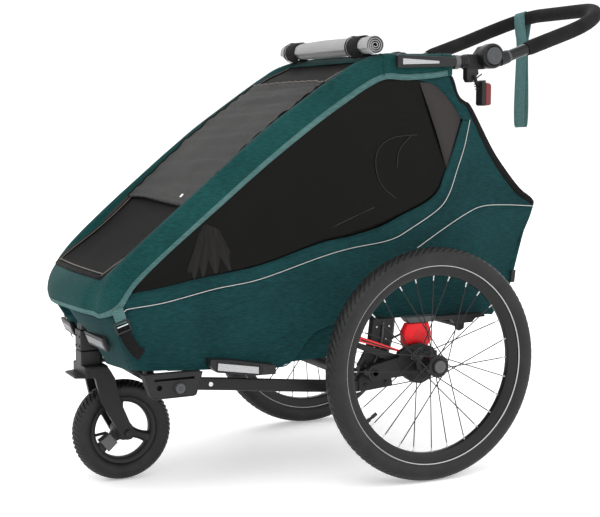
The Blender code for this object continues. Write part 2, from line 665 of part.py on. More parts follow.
def make_wrist_strap(handle):
    """A webbing loop that hangs from the right corner of the handlebar."""
    turn = radians(63)
    corner_y = GRIP_BAR_Y - GRIP_CORNER
    x = -(HANDLE_X - GRIP_CORNER + GRIP_CORNER * cos(turn))
    y = corner_y + GRIP_CORNER * sin(turn)
    step = 0.001
    slope = (handle_height(y + step) - handle_height(y)) / step
    wide = Vector((sin(turn), cos(turn), slope * cos(turn))).normalized()
    away = Vector((-cos(turn), sin(turn), 0))
    over = away.cross(wide)
    if over.z < 0:
        over = -over
    centre = Vector((x, y, handle_height(y)))
    radius = 0.0205
    path = []
    for i in range(9):
        angle = pi * i / 8
        path.append(centre + away * radius * cos(angle) + over * radius * sin(angle))
    half = [(0.0195, -0.012), (0.0115, -0.035), (0.0045, -0.060), (0.0050, -0.110),
            (0.0075, -0.170), (0.0085, -0.225), (0.0065, -0.262)]
    path += [centre - away * a + UP * b for a, b in half]
    path.append(centre - UP * 0.272)
    path += [centre + away * a + UP * b for a, b in reversed(half)]
    band = sweep(path, strip(0.025, 0.0016), side=wide, closed=True)
    finish(band, "wrist_strap", "webbing", handle)


# ---------------------------------------------------------------- soft parts

# Along the hood from the nose to the roof: the lower edge of the side strip,
# the roof's edge and the roof's middle, each as (y, z).  The window sags
# between the rails, so the middle lies lower than the edges there.
HOOD_STATIONS = [
    ((-0.700, 0.381), (-0.712, 0.384), (-0.733, 0.392)),
    ((-0.685, 0.384), (-0.712, 0.408), (-0.738, 0.412)),
    ((-0.668, 0.390), (-0.703, 0.436), (-0.728, 0.440)),
    ((-0.652, 0.402), (-0.689, 0.457), (-0.700, 0.458)),
    ((-0.640, 0.421), (-0.668, 0.480), (-0.660, 0.471)),
    ((-0.620, 0.447), (-0.634, 0.512), (-0.619, 0.496)),
    ((-0.562, 0.499), (-0.564, 0.573), (-0.547, 0.553)),
    ((-0.456, 0.584), (-0.468, 0.653), (-0.454, 0.637)),
    ((-0.340, 0.676), (-0.358, 0.741), (-0.349, 0.731)),
    ((-0.228, 0.757), (-0.252, 0.813), (-0.246, 0.807)),
    ((-0.156, 0.804), (-0.178, 0.860), (-0.174, 0.855)),
    ((-0.110, 0.832), (-0.128, 0.886), (-0.124, 0.877)),
    ((-0.067, 0.850), (-0.066, 0.903), (-0.066, 0.904)),
    ((-0.020, 0.849), (-0.020, 0.904), (-0.020, 0.905)),
    ((0.040, 0.853), (0.040, 0.905), (0.040, 0.906)),
    ((0.098, 0.861), (0.100, 0.907), (0.100, 0.907)),
]
WINDOW_FIRST, WINDOW_LAST = 3, 11


def between(a, b, t):
    return (a[0] + (b[0] - a[0]) * t, a[1] + (b[1] - a[1]) * t)


def hood_row(low, edge, middle):
    """One cross-section of the hood, from its left lower edge to its right one."""
    half = [(HOOD_X, low), (HOOD_X, between(low, edge, 0.45)),
            (HOOD_X - 0.0005, between(low, edge, 0.86)),
            (HOOD_X - 0.005, between(low, edge, 0.96)), (HOOD_X - 0.016, edge),
            (WINDOW_X, between(edge, middle, 0.30)), (0.088, between(edge, middle, 0.80))]
    left = [(x, *p) for x, p in half]
    return left + [(0, *middle)] + mirrored(reversed(left))


def make_hood(carriers):
    fold = carriers["fold"]
    rows = [hood_row(*station) for station in HOOD_STATIONS]
    edge_column = 5
    last_column = len(rows[0]) - 1 - edge_column

    def is_window(i, j):
        return WINDOW_FIRST <= i < WINDOW_LAST and edge_column <= j < last_column

    finish(sheet(rows, HOOD_CLOTH, (0, -0.3, 0.45), skip=is_window), "hood_cover",
           "teal_cloth", fold)

    window = []
    stations = HOOD_STATIONS[WINDOW_FIRST:WINDOW_LAST + 1]
    trimmed = [[between(a, b, 0.04) for a, b in zip(stations[0], stations[1])]]
    trimmed += stations[1:-1]
    trimmed += [[between(a, b, 0.04) for a, b in zip(stations[-1], stations[-2])]]
    for _low, edge, middle in trimmed:
        half = [(WINDOW_X - 0.0012, between(edge, middle, 0.31)), (0.088, between(edge, middle, 0.80))]
        left = [(x, *p) for x, p in half]
        window.append(left + [(0, *middle)] + mirrored(reversed(left)))
    finish(sheet(window, HOOD_CLOTH, (0, -0.3, 0.45)), "front_window", "dark_mesh", fold)

    roll = [(0, -0.212), (0.0195, -0.212), (0.0215, -0.208), (0.0215, 0.208),
            (0.0195, 0.212), (0, 0.212)]
    roll = revolve(roll, (0, -0.0935, 0.9215), 20, ring=False)
    finish(roll, "rolled_rain_cover", "grey_cloth", fold)


# Round the tub from the middle of its rear wall to the middle of its nose:
# x, then lower and upper edge as (y, z).
TUB_STATIONS = [
    (0.000, (0.219, 0.330), (0.256, 0.395)),
    (0.110, (0.219, 0.330), (0.256, 0.395)),
    (0.2015, (0.219, 0.330), (0.256, 0.395)),
    (SKIN_X, (0.214, 0.330), (0.273, 0.445)),
    (SKIN_X, (0.120, 0.335), (0.140, 0.445)),
    (SKIN_X, (0.000, 0.341), (0.000, 0.445)),
    (SKIN_X, (-0.110, 0.346), (-0.110, 0.445)),
    (SKIN_X, (-0.190, 0.338), (-0.190, 0.445)),
    (SKIN_X, (-0.245, 0.315), (-0.245, 0.445)),
    (SKIN_X, (-0.278, 0.272), (-0.278, 0.445)),
    (SKIN_X, (-0.322, 0.255), (-0.322, 0.445)),
    (SKIN_X, (-0.430, 0.262), (-0.430, 0.445)),
    (SKIN_X, (-0.520, 0.267), (-0.520, 0.444)),
    (SKIN_X, (-0.580, 0.270), (-0.600, 0.432)),
    (0.2045, (-0.612, 0.272), (-0.640, 0.412)),
    (0.1970, (-0.632, 0.274), (-0.672, 0.388)),
    (0.1700, (-0.640, 0.272), (-0.704, 0.385)),
    (0.0900, (-0.643, 0.267), (-0.721, 0.386)),
    (0.000, (-0.645, 0.264), (-0.726, 0.390)),
]


def make_tub(carriers):
    base = carriers["base"]
    half = []
    for x, low, high in TUB_STATIONS:
        half.append([(x, *between(low, high, t)) for t in (0, 0.33, 0.66, 1)])
    other = [mirrored(row) for row in reversed(half[1:-1])]
    tub = sheet(half + other, CLOTH, (0, -0.2, 0.35), wrap=True)
    tub = finish(tub, "tub", "teal_cloth", base)
    notch = block((-0.0275, -0.760, 0.200), (0.0275, -0.600, 0.3720))
    combine(tub, guide(notch, "caster_notch_guide", base), "DIFFERENCE")
    sweep_room = post(0.060, 0.200, FORK_TOP_Z + 0.004, (0, CASTER_Y))
    combine(tub, guide(sweep_room, "fork_room_guide", base), "DIFFERENCE")


def make_curtains(carriers):
    """The side windows with their rear wings, which crumple as the frame folds."""
    base = carriers["base"]
    lower = [(-0.634, 0.4190), (-0.600, 0.4340), (-0.520, 0.4456), (0.2735, 0.4460)]
    rear = [(0.297, 0.517), (0.321, 0.571), (0.316, 0.589), (0.278, 0.617), (0.215, 0.690),
            (0.152, 0.791), (0.118, 0.818), (0.100, 0.868)]
    top = [(0.000, 0.861), (-0.067, 0.861), (-0.156, 0.815), (-0.340, 0.687), (-0.562, 0.510),
           (-0.618, 0.460)]
    for name, sign in (("left", 1), ("right", -1)):
        body = plate(lower + rear + top, sign * (SKIN_X - CLOTH), sign * SKIN_X)
        finish(body, name + "_side_curtain", "dark_mesh", base)

    spine = [(0.2602, 0.4000), (0.2656, 0.4310), (0.2920, 0.5170), (0.3130, 0.5690),
             (0.3080, 0.5870), (0.2710, 0.6150), (0.2080, 0.6880), (0.1470, 0.7860),
             (0.1130, 0.8160), (0.0950, 0.8560)]
    rows = [[(x, y, z) for x in (-0.2015, -0.1, 0, 0.1, 0.2015)] for y, z in spine]
    finish(sheet(rows, CLOTH, (0, -0.2, 0.5)), "rear_panel", "dark_mesh", base)


def make_seat(carriers):
    base = carriers["base"]
    cushion = block((-0.148, -0.232, 0.3446), (0.148, 0.015, 0.3900), 0.012)
    finish(cushion, "seat_cushion", "seat_cloth", base)
    outline = [(0.020, 0.3500), (0.058, 0.3480), (0.105, 0.7700), (0.095, 0.7790),
               (0.075, 0.7780), (0.068, 0.7700), (0.018, 0.4000)]
    finish(plate(outline, -0.145, 0.145), "seat_back", "seat_cloth", base)
    for name, sign in (("left", 1), ("right", -1)):
        path = [(sign * 0.050, 0.0600, 0.7200), (sign * 0.055, 0.0300, 0.6200),
                (sign * 0.050, -0.0050, 0.5400), (sign * 0.034, -0.0330, 0.4800),
                (sign * 0.0260, -0.0420, 0.4580)]
        band = sweep(round_path(path, 2), strip(0.024, 0.0016))
        finish(band, name + "_shoulder_strap", "black_webbing", base)
    buckle = block((-0.026, -0.0600, 0.4140), (0.026, -0.0380, 0.4560), 0.003)
    buckle = finish(buckle, "harness_buckle", "dark_plastic", base)
    stalk = block((-0.013, -0.0560, 0.3904), (0.013, -0.0530, 0.4180))
    combine(buckle, guide(stalk, "crotch_strap_guide", base), "UNION")
    pocket = block((-0.0104, -0.0700, 0.4246), (0.0104, -0.0500, 0.4454))
    combine(buckle, guide(pocket, "button_pocket_guide", base), "DIFFERENCE")
    button = block((-0.0100, -0.0620, 0.4250), (0.0100, -0.0540, 0.4450), 0.001)
    finish(button, "harness_button", "red_rubber", base)


def main():
    clear_scene()
    carriers = make_carriers()
    frame = make_rear_frame(carriers)
    for name, sign in (("left", 1), ("right", -1)):
        make_rear_wheel(name, sign, carriers)
        make_suspension(name, sign, carriers, frame)
    make_lower_frame(carriers)
    make_caster(carriers)
    make_brake(carriers)
    make_upper_frame(carriers)
    make_handlebar(carriers)
    make_hood(carriers)
    make_tub(carriers)
    make_curtains(carriers)
    make_seat(carriers)


main()
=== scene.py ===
"""The looks of the child bicycle trailer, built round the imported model.

Places are given from the ground point below the rear axle, with the nose
along -Y and +X as the trailer's left side; Y0 moves them into the frame of
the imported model.  A line in the side view is a list of (y, z) points.
"""
from math import atan2, cos, pi, radians, sin
import bpy
import bmesh
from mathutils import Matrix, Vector, noise


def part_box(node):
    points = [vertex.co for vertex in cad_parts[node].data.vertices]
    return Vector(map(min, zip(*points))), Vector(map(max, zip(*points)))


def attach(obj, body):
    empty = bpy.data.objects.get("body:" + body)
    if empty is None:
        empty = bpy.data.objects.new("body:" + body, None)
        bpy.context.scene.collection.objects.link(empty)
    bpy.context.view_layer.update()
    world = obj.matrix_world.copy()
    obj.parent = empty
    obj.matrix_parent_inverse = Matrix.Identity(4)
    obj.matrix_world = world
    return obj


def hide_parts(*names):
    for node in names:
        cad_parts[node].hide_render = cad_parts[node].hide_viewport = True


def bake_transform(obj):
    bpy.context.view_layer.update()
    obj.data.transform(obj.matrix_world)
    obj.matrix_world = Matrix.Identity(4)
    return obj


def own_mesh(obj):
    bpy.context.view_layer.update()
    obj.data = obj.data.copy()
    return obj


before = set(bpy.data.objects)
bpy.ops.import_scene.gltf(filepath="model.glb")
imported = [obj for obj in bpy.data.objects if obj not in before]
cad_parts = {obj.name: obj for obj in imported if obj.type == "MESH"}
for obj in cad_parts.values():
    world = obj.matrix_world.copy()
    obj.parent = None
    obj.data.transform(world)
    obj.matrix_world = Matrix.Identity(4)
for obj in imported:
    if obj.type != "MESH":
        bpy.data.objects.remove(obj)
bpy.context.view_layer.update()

HUB_LOW, HUB_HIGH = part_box("left_hub_and_spokes")
Y0 = (HUB_LOW.y + HUB_HIGH.y) / 2

# Driving dimensions, metres.
WHEEL_X, WHEEL_RADIUS = 0.298, 0.25
RIM_INNER = 0.1895
SPOKES = 28
HUB_RIBS = 30
CASTER_Y, FRONT_AXLE_Y, FRONT_RADIUS = -0.66, -0.591, 0.108
HANDLE_Y, HANDLE_Z = 0.2, 0.904
ARM_Y, ARM_Z = -0.117, 0.235
PEDAL_Y, PEDAL_Z = 0.118, 0.318
HANDLE_X = 0.207
GRIP_BAR_Y, GRIP_CORNER, GRIP_RISE = 0.544, 0.121, 0.347
CLOTH = 0.0014            # thickness of the body cloth
BODY_X = 0.2058           # where the body's sides stand
HOOD_X = 0.2092           # where the hood's side strips stand
STRIP_X = 0.2057          # where the window frames stand
PIN_END = 0.2638          # outer end of the swing arms' pivot pins

UP = Vector((0, 0, 1))
SIDEWAYS = Vector((1, 0, 0))
SIDES = (("left", 1), ("right", -1))


# ---------------------------------------------------------------- materials

def new_paint(name, colour, roughness, metallic=0.0):
    paint = bpy.data.materials.new(name)
    paint.use_nodes = True
    tree = paint.node_tree
    shader = tree.nodes["Principled BSDF"]
    shader.inputs["Base Color"].default_value = (*colour, 1)
    shader.inputs["Roughness"].default_value = roughness
    shader.inputs["Metallic"].default_value = metallic
    return paint, tree, shader


def add_node(tree, kind, links=None, **values):
    """A node with its sockets set by value or, through links, to other sockets."""
    node = tree.nodes.new(kind)
    for key, value in values.items():
        if key in node.bl_rna.properties:
            setattr(node, key, value)
        else:
            node.inputs[key.replace("_", " ")].default_value = value
    for key, socket in (links or {}).items():
        tree.links.new(socket, node.inputs[key])
    return node


def noise_of(tree, scale, detail=4.0, stretch=(1, 1, 1)):
    """Noise in object space, stretched along an axis by a small factor there."""
    place = add_node(tree, "ShaderNodeTexCoord")
    mapping = add_node(tree, "ShaderNodeMapping", {"Vector": place.outputs["Object"]})
    mapping.inputs["Scale"].default_value = stretch
    texture = add_node(tree, "ShaderNodeTexNoise", {"Vector": mapping.outputs["Vector"]},
            Scale=scale, Detail=detail)
    return texture.outputs["Fac"]


def lattice_of(tree, pitch):
    """Threads along all three axes, added, so that every face shows two of them."""
    place = add_node(tree, "ShaderNodeTexCoord")
    total = None
    for direction in ("X", "Y", "Z"):
        wave = add_node(tree, "ShaderNodeTexWave", {"Vector": place.outputs["Object"]},
                bands_direction=direction, Scale=0.314 / pitch, Distortion=0.6)
        if total is None:
            total = wave.outputs["Fac"]
            continue
        total = add_node(tree, "ShaderNodeMath", {0: total, 1: wave.outputs["Fac"]},
                operation="ADD").outputs[0]
    return total


def ramp_of(tree, factor, low, high, dark, light):
    ramp = add_node(tree, "ShaderNodeValToRGB", {"Fac": factor})
    ramp.color_ramp.elements[0].position = low
    ramp.color_ramp.elements[1].position = high
    ramp.color_ramp.elements[0].color = (*dark, 1)
    ramp.color_ramp.elements[1].color = (*light, 1)
    return ramp.outputs["Color"]


def colour_by(tree, shader, factor, low, high, dark, light):
    tree.links.new(ramp_of(tree, factor, low, high, dark, light), shader.inputs["Base Color"])


def bump_by(tree, shader, height, distance, strength=1.0):
    bump = add_node(tree, "ShaderNodeBump", {"Height": height}, Strength=strength,
            Distance=distance)
    earlier = shader.inputs["Normal"].links
    if earlier:
        tree.links.new(earlier[0].from_socket, bump.inputs["Normal"])
    tree.links.new(bump.outputs["Normal"], shader.inputs["Normal"])


def vary(tree, shader, name, factor, low, high):
    """Let noise move a socket between two values."""
    spread = add_node(tree, "ShaderNodeMapRange", {"Value": factor}, To_Min=low, To_Max=high)
    tree.links.new(spread.outputs["Result"], shader.inputs[name])


def woven(name, dark, light, thread=0.0011, melange=1.0, sheen=0.25, bump=0.00035):
    """A woven cloth whose yarns differ a little, with a soft sheen."""
    paint, tree, shader = new_paint(name, light, 0.88)
    streaks = noise_of(tree, 620, 3, (0.35, 0.12, 1.0))
    blotches = noise_of(tree, 9, 2)
    mixed = add_node(tree, "ShaderNodeMix", {"A": streaks, "B": blotches}, Factor=0.3)
    spread = 0.16 * melange
    colour_by(tree, shader, mixed.outputs["Result"], 0.5 - spread, 0.5 + spread, dark, light)
    bump_by(tree, shader, lattice_of(tree, thread), bump, 0.7)
    bump_by(tree, shader, noise_of(tree, 28, 3), 0.0016, 0.35)
    vary(tree, shader, "Roughness", streaks, 0.8, 0.97)
    shader.inputs["Sheen Weight"].default_value = sheen
    shader.inputs["Sheen Roughness"].default_value = 0.45
    shader.inputs["Specular IOR Level"].default_value = 0.12
    return paint


def moulded(name, colour, roughness=0.5, grain=0.00012, coat=0.0):
    """Moulded plastic: fine grain, slight unevenness, paler where it is rubbed."""
    paint, tree, shader = new_paint(name, colour, roughness)
    wear = add_node(tree, "ShaderNodeNewGeometry").outputs["Pointiness"]
    pale = tuple((min(1, c * 1.7 + 0.006) for c in colour))
    colour_by(tree, shader, wear, 0.5, 0.62, colour, pale)
    bump_by(tree, shader, noise_of(tree, 1500, 2), grain, 0.6)
    vary(tree, shader, "Roughness", noise_of(tree, 45, 4), roughness - 0.09, roughness + 0.1)
    shader.inputs["Specular IOR Level"].default_value = 0.26
    shader.inputs["Coat Weight"].default_value = coat
    shader.inputs["Coat Roughness"].default_value = 0.25
    return paint


def powder_coat(name, colour, roughness=0.42):
    """Satin powder coat on metal, with its orange-peel surface."""
    paint, tree, shader = new_paint(name, colour, roughness, 0.05)
    wear = add_node(tree, "ShaderNodeNewGeometry").outputs["Pointiness"]
    pale = tuple((c * 2.0 + 0.008 for c in colour))
    colour_by(tree, shader, wear, 0.52, 0.66, colour, pale)
    bump_by(tree, shader, noise_of(tree, 700, 2), 0.0001, 0.5)
    vary(tree, shader, "Roughness", noise_of(tree, 30, 4), roughness - 0.07, roughness + 0.08)
    shader.inputs["Specular IOR Level"].default_value = 0.24
    return paint


def rubbery(name, colour, roughness=0.78, grain=0.00025, scale=900, gloss=0.24):
    paint, tree, shader = new_paint(name, colour, roughness)
    dusty = tuple((c * 1.5 + 0.003 for c in colour))
    colour_by(tree, shader, noise_of(tree, 26, 5), 0.4, 0.72, colour, dusty)
    bump_by(tree, shader, noise_of(tree, scale, 3), grain, 0.8)
    vary(tree, shader, "Roughness", noise_of(tree, 60, 3), roughness - 0.08, roughness + 0.1)
    shader.inputs["Specular IOR Level"].default_value = gloss
    return paint


def netting(name, dark, light, pitch, alpha, roughness=0.75):
    """A fine net: lighter threads over a darker ground, partly see-through."""
    paint, tree, shader = new_paint(name, light, roughness)
    threads = lattice_of(tree, pitch)
    colour_by(tree, shader, threads, 0.9, 1.8, dark, light)
    bump_by(tree, shader, threads, 0.0002, 0.6)
    bump_by(tree, shader, noise_of(tree, 16, 2), 0.004, 0.3)
    shader.inputs["Alpha"].default_value = alpha
    shader.inputs["Specular IOR Level"].default_value = 0.09
    return paint


def tinted_film(name, colour, alpha):
    paint, tree, shader = new_paint(name, colour, 0.42)
    smoky = tuple((c * 1.35 for c in colour))
    colour_by(tree, shader, noise_of(tree, 7, 2), 0.35, 0.7, colour, smoky)
    bump_by(tree, shader, noise_of(tree, 11, 2), 0.006, 0.18)
    vary(tree, shader, "Roughness", noise_of(tree, 30, 2), 0.36, 0.5)
    shader.inputs["Alpha"].default_value = alpha
    shader.inputs["Specular IOR Level"].default_value = 0.09
    return paint


def bright_metal(name, colour, roughness=0.28):
    paint, tree, shader = new_paint(name, colour, roughness, 1.0)
    brushed = noise_of(tree, 400, 2, (0.05, 1, 1))
    vary(tree, shader, "Roughness", brushed, roughness - 0.06, roughness + 0.1)
    bump_by(tree, shader, brushed, 4e-05, 0.4)
    return paint


def reflective(name, colour):
    """Reflector lens: a fine pattern of prisms in clear plastic."""
    paint, tree, shader = new_paint(name, colour, 0.22, 0.35)
    prisms = lattice_of(tree, 0.0035)
    dim = tuple((c * 0.72 for c in colour))
    colour_by(tree, shader, prisms, 0.7, 2.2, dim, colour)
    bump_by(tree, shader, prisms, 0.0005, 0.5)
    shader.inputs["Coat Weight"].default_value = 0.6
    shader.inputs["Coat Roughness"].default_value = 0.12
    return paint


BLACK = (0.0055, 0.0055, 0.0058)
PAINT = {
    "hood": woven("hood_cloth", (0.0016, 0.029, 0.0285), (0.0075, 0.062, 0.06), 0.0013, 0.9, 0.06),
    "panel": woven("panel_cloth", (0.0014, 0.021, 0.0235), (0.0065, 0.048, 0.051), 0.0013, 0.9,
            0.06),
    "binding": woven("binding_tape", (0.045, 0.112, 0.11), (0.088, 0.178, 0.172), 0.0009, 0.7,
            0.08),
    "webbing": woven("teal_webbing", (0.055, 0.13, 0.128), (0.095, 0.19, 0.185), 0.0014, 0.7, 0.08),
    "black_webbing": woven("black_webbing", (0.003, 0.003, 0.003), (0.009, 0.009, 0.0095), 0.0013,
            0.8, 0.04),
    "black_cloth": woven("black_cloth", (0.0025, 0.0025, 0.0027), (0.007, 0.007, 0.007), 0.0012,
            0.9, 0.03),
    "shade": woven("sunshade_cloth", (0.027, 0.027, 0.0265), (0.05, 0.049, 0.048), 0.0008, 0.5,
            0.08),
    "seat": woven("seat_cloth", (0.022, 0.023, 0.026), (0.05, 0.052, 0.058), 0.0015, 1.0),
    "seat_trim": woven("seat_trim_cloth", (0.01, 0.01, 0.011), (0.024, 0.024, 0.026), 0.0015, 1.0),
    "roll": woven("rain_cover_cloth", (0.31, 0.31, 0.314), (0.41, 0.41, 0.416), 0.001, 1.2, 0.1),
    "zip": woven("zip_tape", (0.12, 0.1, 0.09), (0.21, 0.18, 0.16), 0.0012, 0.8, 0.1),
    "net": netting("window_net", (0.0016, 0.0015, 0.0014), (0.005, 0.0048, 0.0046), 0.0022, 0.95),
    "film": tinted_film("window_film", (0.0022, 0.002, 0.0017), 0.97),
    "quarter": netting("quarter_net", (0.019, 0.0172, 0.0168), (0.036, 0.033, 0.032), 0.0018, 0.97),
    "pocket": netting("pocket_net", (0.006, 0.0056, 0.0054), (0.017, 0.016, 0.0155), 0.0018, 0.97),
    "tube": powder_coat("black_powder_coat", (0.007, 0.007, 0.0074)),
    "anodised": powder_coat("black_anodised", (0.0085, 0.0085, 0.009), 0.3),
    "plastic": moulded("black_plastic", BLACK, 0.46),
    "soft_plastic": moulded("soft_black_plastic", (0.01, 0.01, 0.0104), 0.55),
    "grey_plastic": moulded("grey_plastic", (0.046, 0.048, 0.051), 0.42),
    "light_plastic": moulded("light_grey_plastic", (0.062, 0.062, 0.064), 0.36),
    "white_plastic": moulded("white_plastic", (0.62, 0.62, 0.62), 0.45),
    "tyre": rubbery("tyre_rubber", (0.0058, 0.0058, 0.0061), 0.45, gloss=0.3),
    "foam": rubbery("grip_foam", (0.005, 0.005, 0.0052), 0.92, 0.0005, 1400),
    "cable": rubbery("cable_sheath", (0.01, 0.01, 0.0105), 0.5, 5e-05),
    "red_rubber": rubbery("red_elastomer", (0.55, 0.006, 0.01), 0.36, 8e-05, 300),
    "red_plastic": moulded("red_plastic", (0.52, 0.012, 0.016), 0.34, 6e-05, 0.3),
    "red_lens": moulded("red_lens", (0.095, 0.006, 0.006), 0.18, 3e-05, 0.15),
    "clear_lens": moulded("clear_lens", (0.5, 0.5, 0.5), 0.12, 3e-05, 0.6),
    "steel": bright_metal("bright_steel", (0.62, 0.62, 0.63)),
    "piping": bright_metal("silver_piping", (0.46, 0.46, 0.455), 0.52),
    "stripe": moulded("tyre_stripe", (0.42, 0.42, 0.425), 0.38, 3e-05, 0.2),
    "silver": reflective("silver_reflector", (0.34, 0.34, 0.35)),
    "dim_silver": moulded("front_reflector_lens", (0.12, 0.12, 0.123), 0.42, 0.0002, 0.1),
}


# ---------------------------------------------------------------- mesh helpers


def piece(name, bm, paint, body=None, replaces=(), sharp=35, centre=(0, 0, 0), slot=None, bevel=0,
        segments=2, angle=30, cloth=0, offset=-1, folds=False):
    """Make one object from a bmesh that is given round centre, the object's origin.

    paint is one key or several; sharp is the angle above which an edge stays sharp.  bevel and
    cloth are a bevel's width and a sheet's thickness; folds bakes the object's place into its mesh.
    """
    bmesh.ops.recalc_face_normals(bm, faces=bm.faces)
    mesh = bpy.data.meshes.new(name)
    bm.to_mesh(mesh)
    bm.free()
    keys = [paint] if isinstance(paint, str) else paint
    for key in keys:
        mesh.materials.append(PAINT[key])
    mesh.shade_smooth()
    mesh.set_sharp_from_angle(angle=radians(sharp))
    obj = bpy.data.objects.new(name, mesh)
    obj.location = Vector(centre) + Vector((0, Y0, 0))
    bpy.context.scene.collection.objects.link(obj)
    if body:
        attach(obj, body)
    if replaces:
        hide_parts(*replaces)
    if bevel:
        bevelled(obj, bevel, segments, angle)
    if cloth:
        modifier = obj.modifiers.new("cloth", "SOLIDIFY")
        modifier.thickness = cloth
        modifier.offset = offset
    if folds:
        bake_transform(obj)
    return obj


def bevelled(obj, width, segments=2, angle=30):
    modifier = obj.modifiers.new("bevel", "BEVEL")
    modifier.width = width
    modifier.segments = segments
    modifier.limit_method = "ANGLE"
    modifier.angle_limit = radians(angle)
    modifier.harden_normals = True
    return obj


def smooth_line(points, per_span=4, closed=False):
    """A Catmull-Rom curve through points of any dimension."""
    pts = [Vector(p) for p in points]
    count = len(pts)
    out = []
    for i in range(count if closed else count - 1):
        b, c = pts[i], pts[(i + 1) % count]
        a = pts[i - 1] if closed or i > 0 else b * 2 - c
        d = pts[(i + 2) % count] if closed or i + 2 < count else c * 2 - b
        for step in range(per_span):
            t = step / per_span
            curve = b * 2 + (c - a) * t + (a * 2 - b * 5 + c * 4 - d) * t ** 2
            curve += (b * 3 - a - c * 3 + d) * t ** 3
            out.append(curve / 2)
    if not closed:
        out.append(pts[-1])
    return out


def even_line(points, count):
    """A curve cut to count points at even distances."""
    fine = smooth_line(points, 12)
    lengths = [0.0]
    for a, b in zip(fine, fine[1:]):
        lengths.append(lengths[-1] + (b - a).length)
    out, k = [], 0
    for i in range(count):
        want = lengths[-1] * i / (count - 1)
        while k < len(fine) - 2 and lengths[k + 1] < want:
            k += 1
        span = lengths[k + 1] - lengths[k]
        out.append(fine[k].lerp(fine[k + 1], (want - lengths[k]) / span if span else 0))
    return out


def side_line(points, x, sign=1):
    return [Vector((sign * x, y, z)) for y, z in points]


def on_side(points, sign):
    """Points of the left side, or their mirror images."""
    return [Vector((sign * x, y, z)) for x, y, z in points]


def around(count):
    """Angles at even steps round a circle."""
    return [2 * pi * i / count for i in range(count)]


def polar(radius, turn, x=0):
    """A point at a radius and a turn round the X axis."""
    return Vector((x, radius * cos(turn), radius * sin(turn)))


def circle(radius, sides):
    return [(radius * cos(a), radius * sin(a)) for a in around(sides)]


def flat_section(width, thickness):
    w, t = width / 2, thickness / 2
    e = min(t, w) * 0.6
    return [(-w, -t + e), (-w + e, -t), (w - e, -t), (w, -t + e), (w, t - e), (w - e, t),
            (-w + e, t), (-w, t - e)]


def skin(bm, rows, close_rows=False, close_ends=False):
    loops = [[bm.verts.new(p) for p in row] for row in rows]
    count = len(loops)
    for i in range(count if close_rows else count - 1):
        a, b = loops[i], loops[(i + 1) % count]
        for j in range(len(a)):
            k = (j + 1) % len(a)
            bm.faces.new((a[j], a[k], b[k], b[j]))
    if close_ends:
        bm.faces.new(loops[0][::-1])
        bm.faces.new(loops[-1])


def sweep(path, section, side=SIDEWAYS, closed=False, bm=None, sizes=None):
    """Carry a section along a path; its first axis stays close to side."""
    bm = bm or bmesh.new()
    points = [Vector(p) for p in path]
    count = len(points)
    rows = []
    for i, point in enumerate(points):
        before = points[(i - 1) % count] if closed or i > 0 else point
        after = points[(i + 1) % count] if closed or i < count - 1 else point
        along = (after - before).normalized()
        across = (side - along * side.dot(along)).normalized()
        lift = along.cross(across)
        side = across
        size = sizes(i / (count - 1)) if sizes else 1.0
        rows.append([point + (across * a + lift * b) * size for a, b in section])
    skin(bm, rows, closed, not closed)
    return bm


def tube(path, radius, sides=16, bm=None, side=SIDEWAYS, closed=False):
    return sweep(path, circle(radius, sides), side, closed, bm)


def on_axis(axis, a, b, along):
    """A point from its two coordinates across an axis and the one along it."""
    if axis == "X":
        return Vector((along, a, b))
    if axis == "Y":
        return Vector((a, along, b))
    return Vector((a, b, along))


def lathe(profile, segments=48, ring=False, axis="X", centre=(0, 0, 0), bm=None):
    """Turn (radius, along) about an axis; a ring's profile is a closed loop."""
    bm = bm or bmesh.new()
    centre = Vector(centre)

    def place(radius, along, turn):
        return centre + on_axis(axis, radius * cos(turn), radius * sin(turn), along)

    turns = around(segments)
    if ring:
        skin(bm, [[place(r, x, t) for r, x in profile] for t in turns], True, False)
        return bm
    first = bm.verts.new(place(*profile[0], 0))
    last = bm.verts.new(place(*profile[-1], 0))
    loops = [[bm.verts.new(place(r, x, t)) for t in turns] for r, x in profile[1:-1]]
    for i in range(segments):
        k = (i + 1) % segments
        bm.faces.new((first, loops[0][i], loops[0][k]))
        bm.faces.new((last, loops[-1][k], loops[-1][i]))
        for a, b in zip(loops, loops[1:]):
            bm.faces.new((a[i], b[i], b[k], a[k]))
    return bm


def puck(radius, low, high, edge=0.001, segments=40, axis="X", centre=(0, 0, 0), bm=None):
    """A round disc with softened edges."""
    e = edge * (1 if high > low else -1)
    profile = [
        (0, low), (radius - edge, low), (radius - edge * 0.3, low + e * 0.3), (radius, low + e),
        (radius, high - e), (radius - edge * 0.3, high - e * 0.3), (radius - edge, high), (0, high)]
    return lathe(profile, segments, False, axis, centre, bm)


def prism(outline, low, high, axis="X", bm=None):
    """An outline of (y, z), or (x, z) along Y, or (x, y) along Z, made solid."""
    bm = bm or bmesh.new()
    rows = [[on_axis(axis, a, b, along) for a, b in outline] for along in (low, high)]
    skin(bm, rows, False, True)
    return bm


def plate(name, outline, low, high, paint, body, bevel=0, replaces=(), axis="X", **more):
    """One prism as a piece with sharp edges; more goes to piece()."""
    shape = prism(outline, low, high, axis)
    return piece(name, shape, paint, body, replaces, 30, bevel=bevel, **more)


def block(low, high, bm=None):
    (x0, y0, z0), (x1, y1, z1) = low, high
    return prism([(y0, z0), (y1, z0), (y1, z1), (y0, z1)], x0, x1, "X", bm)


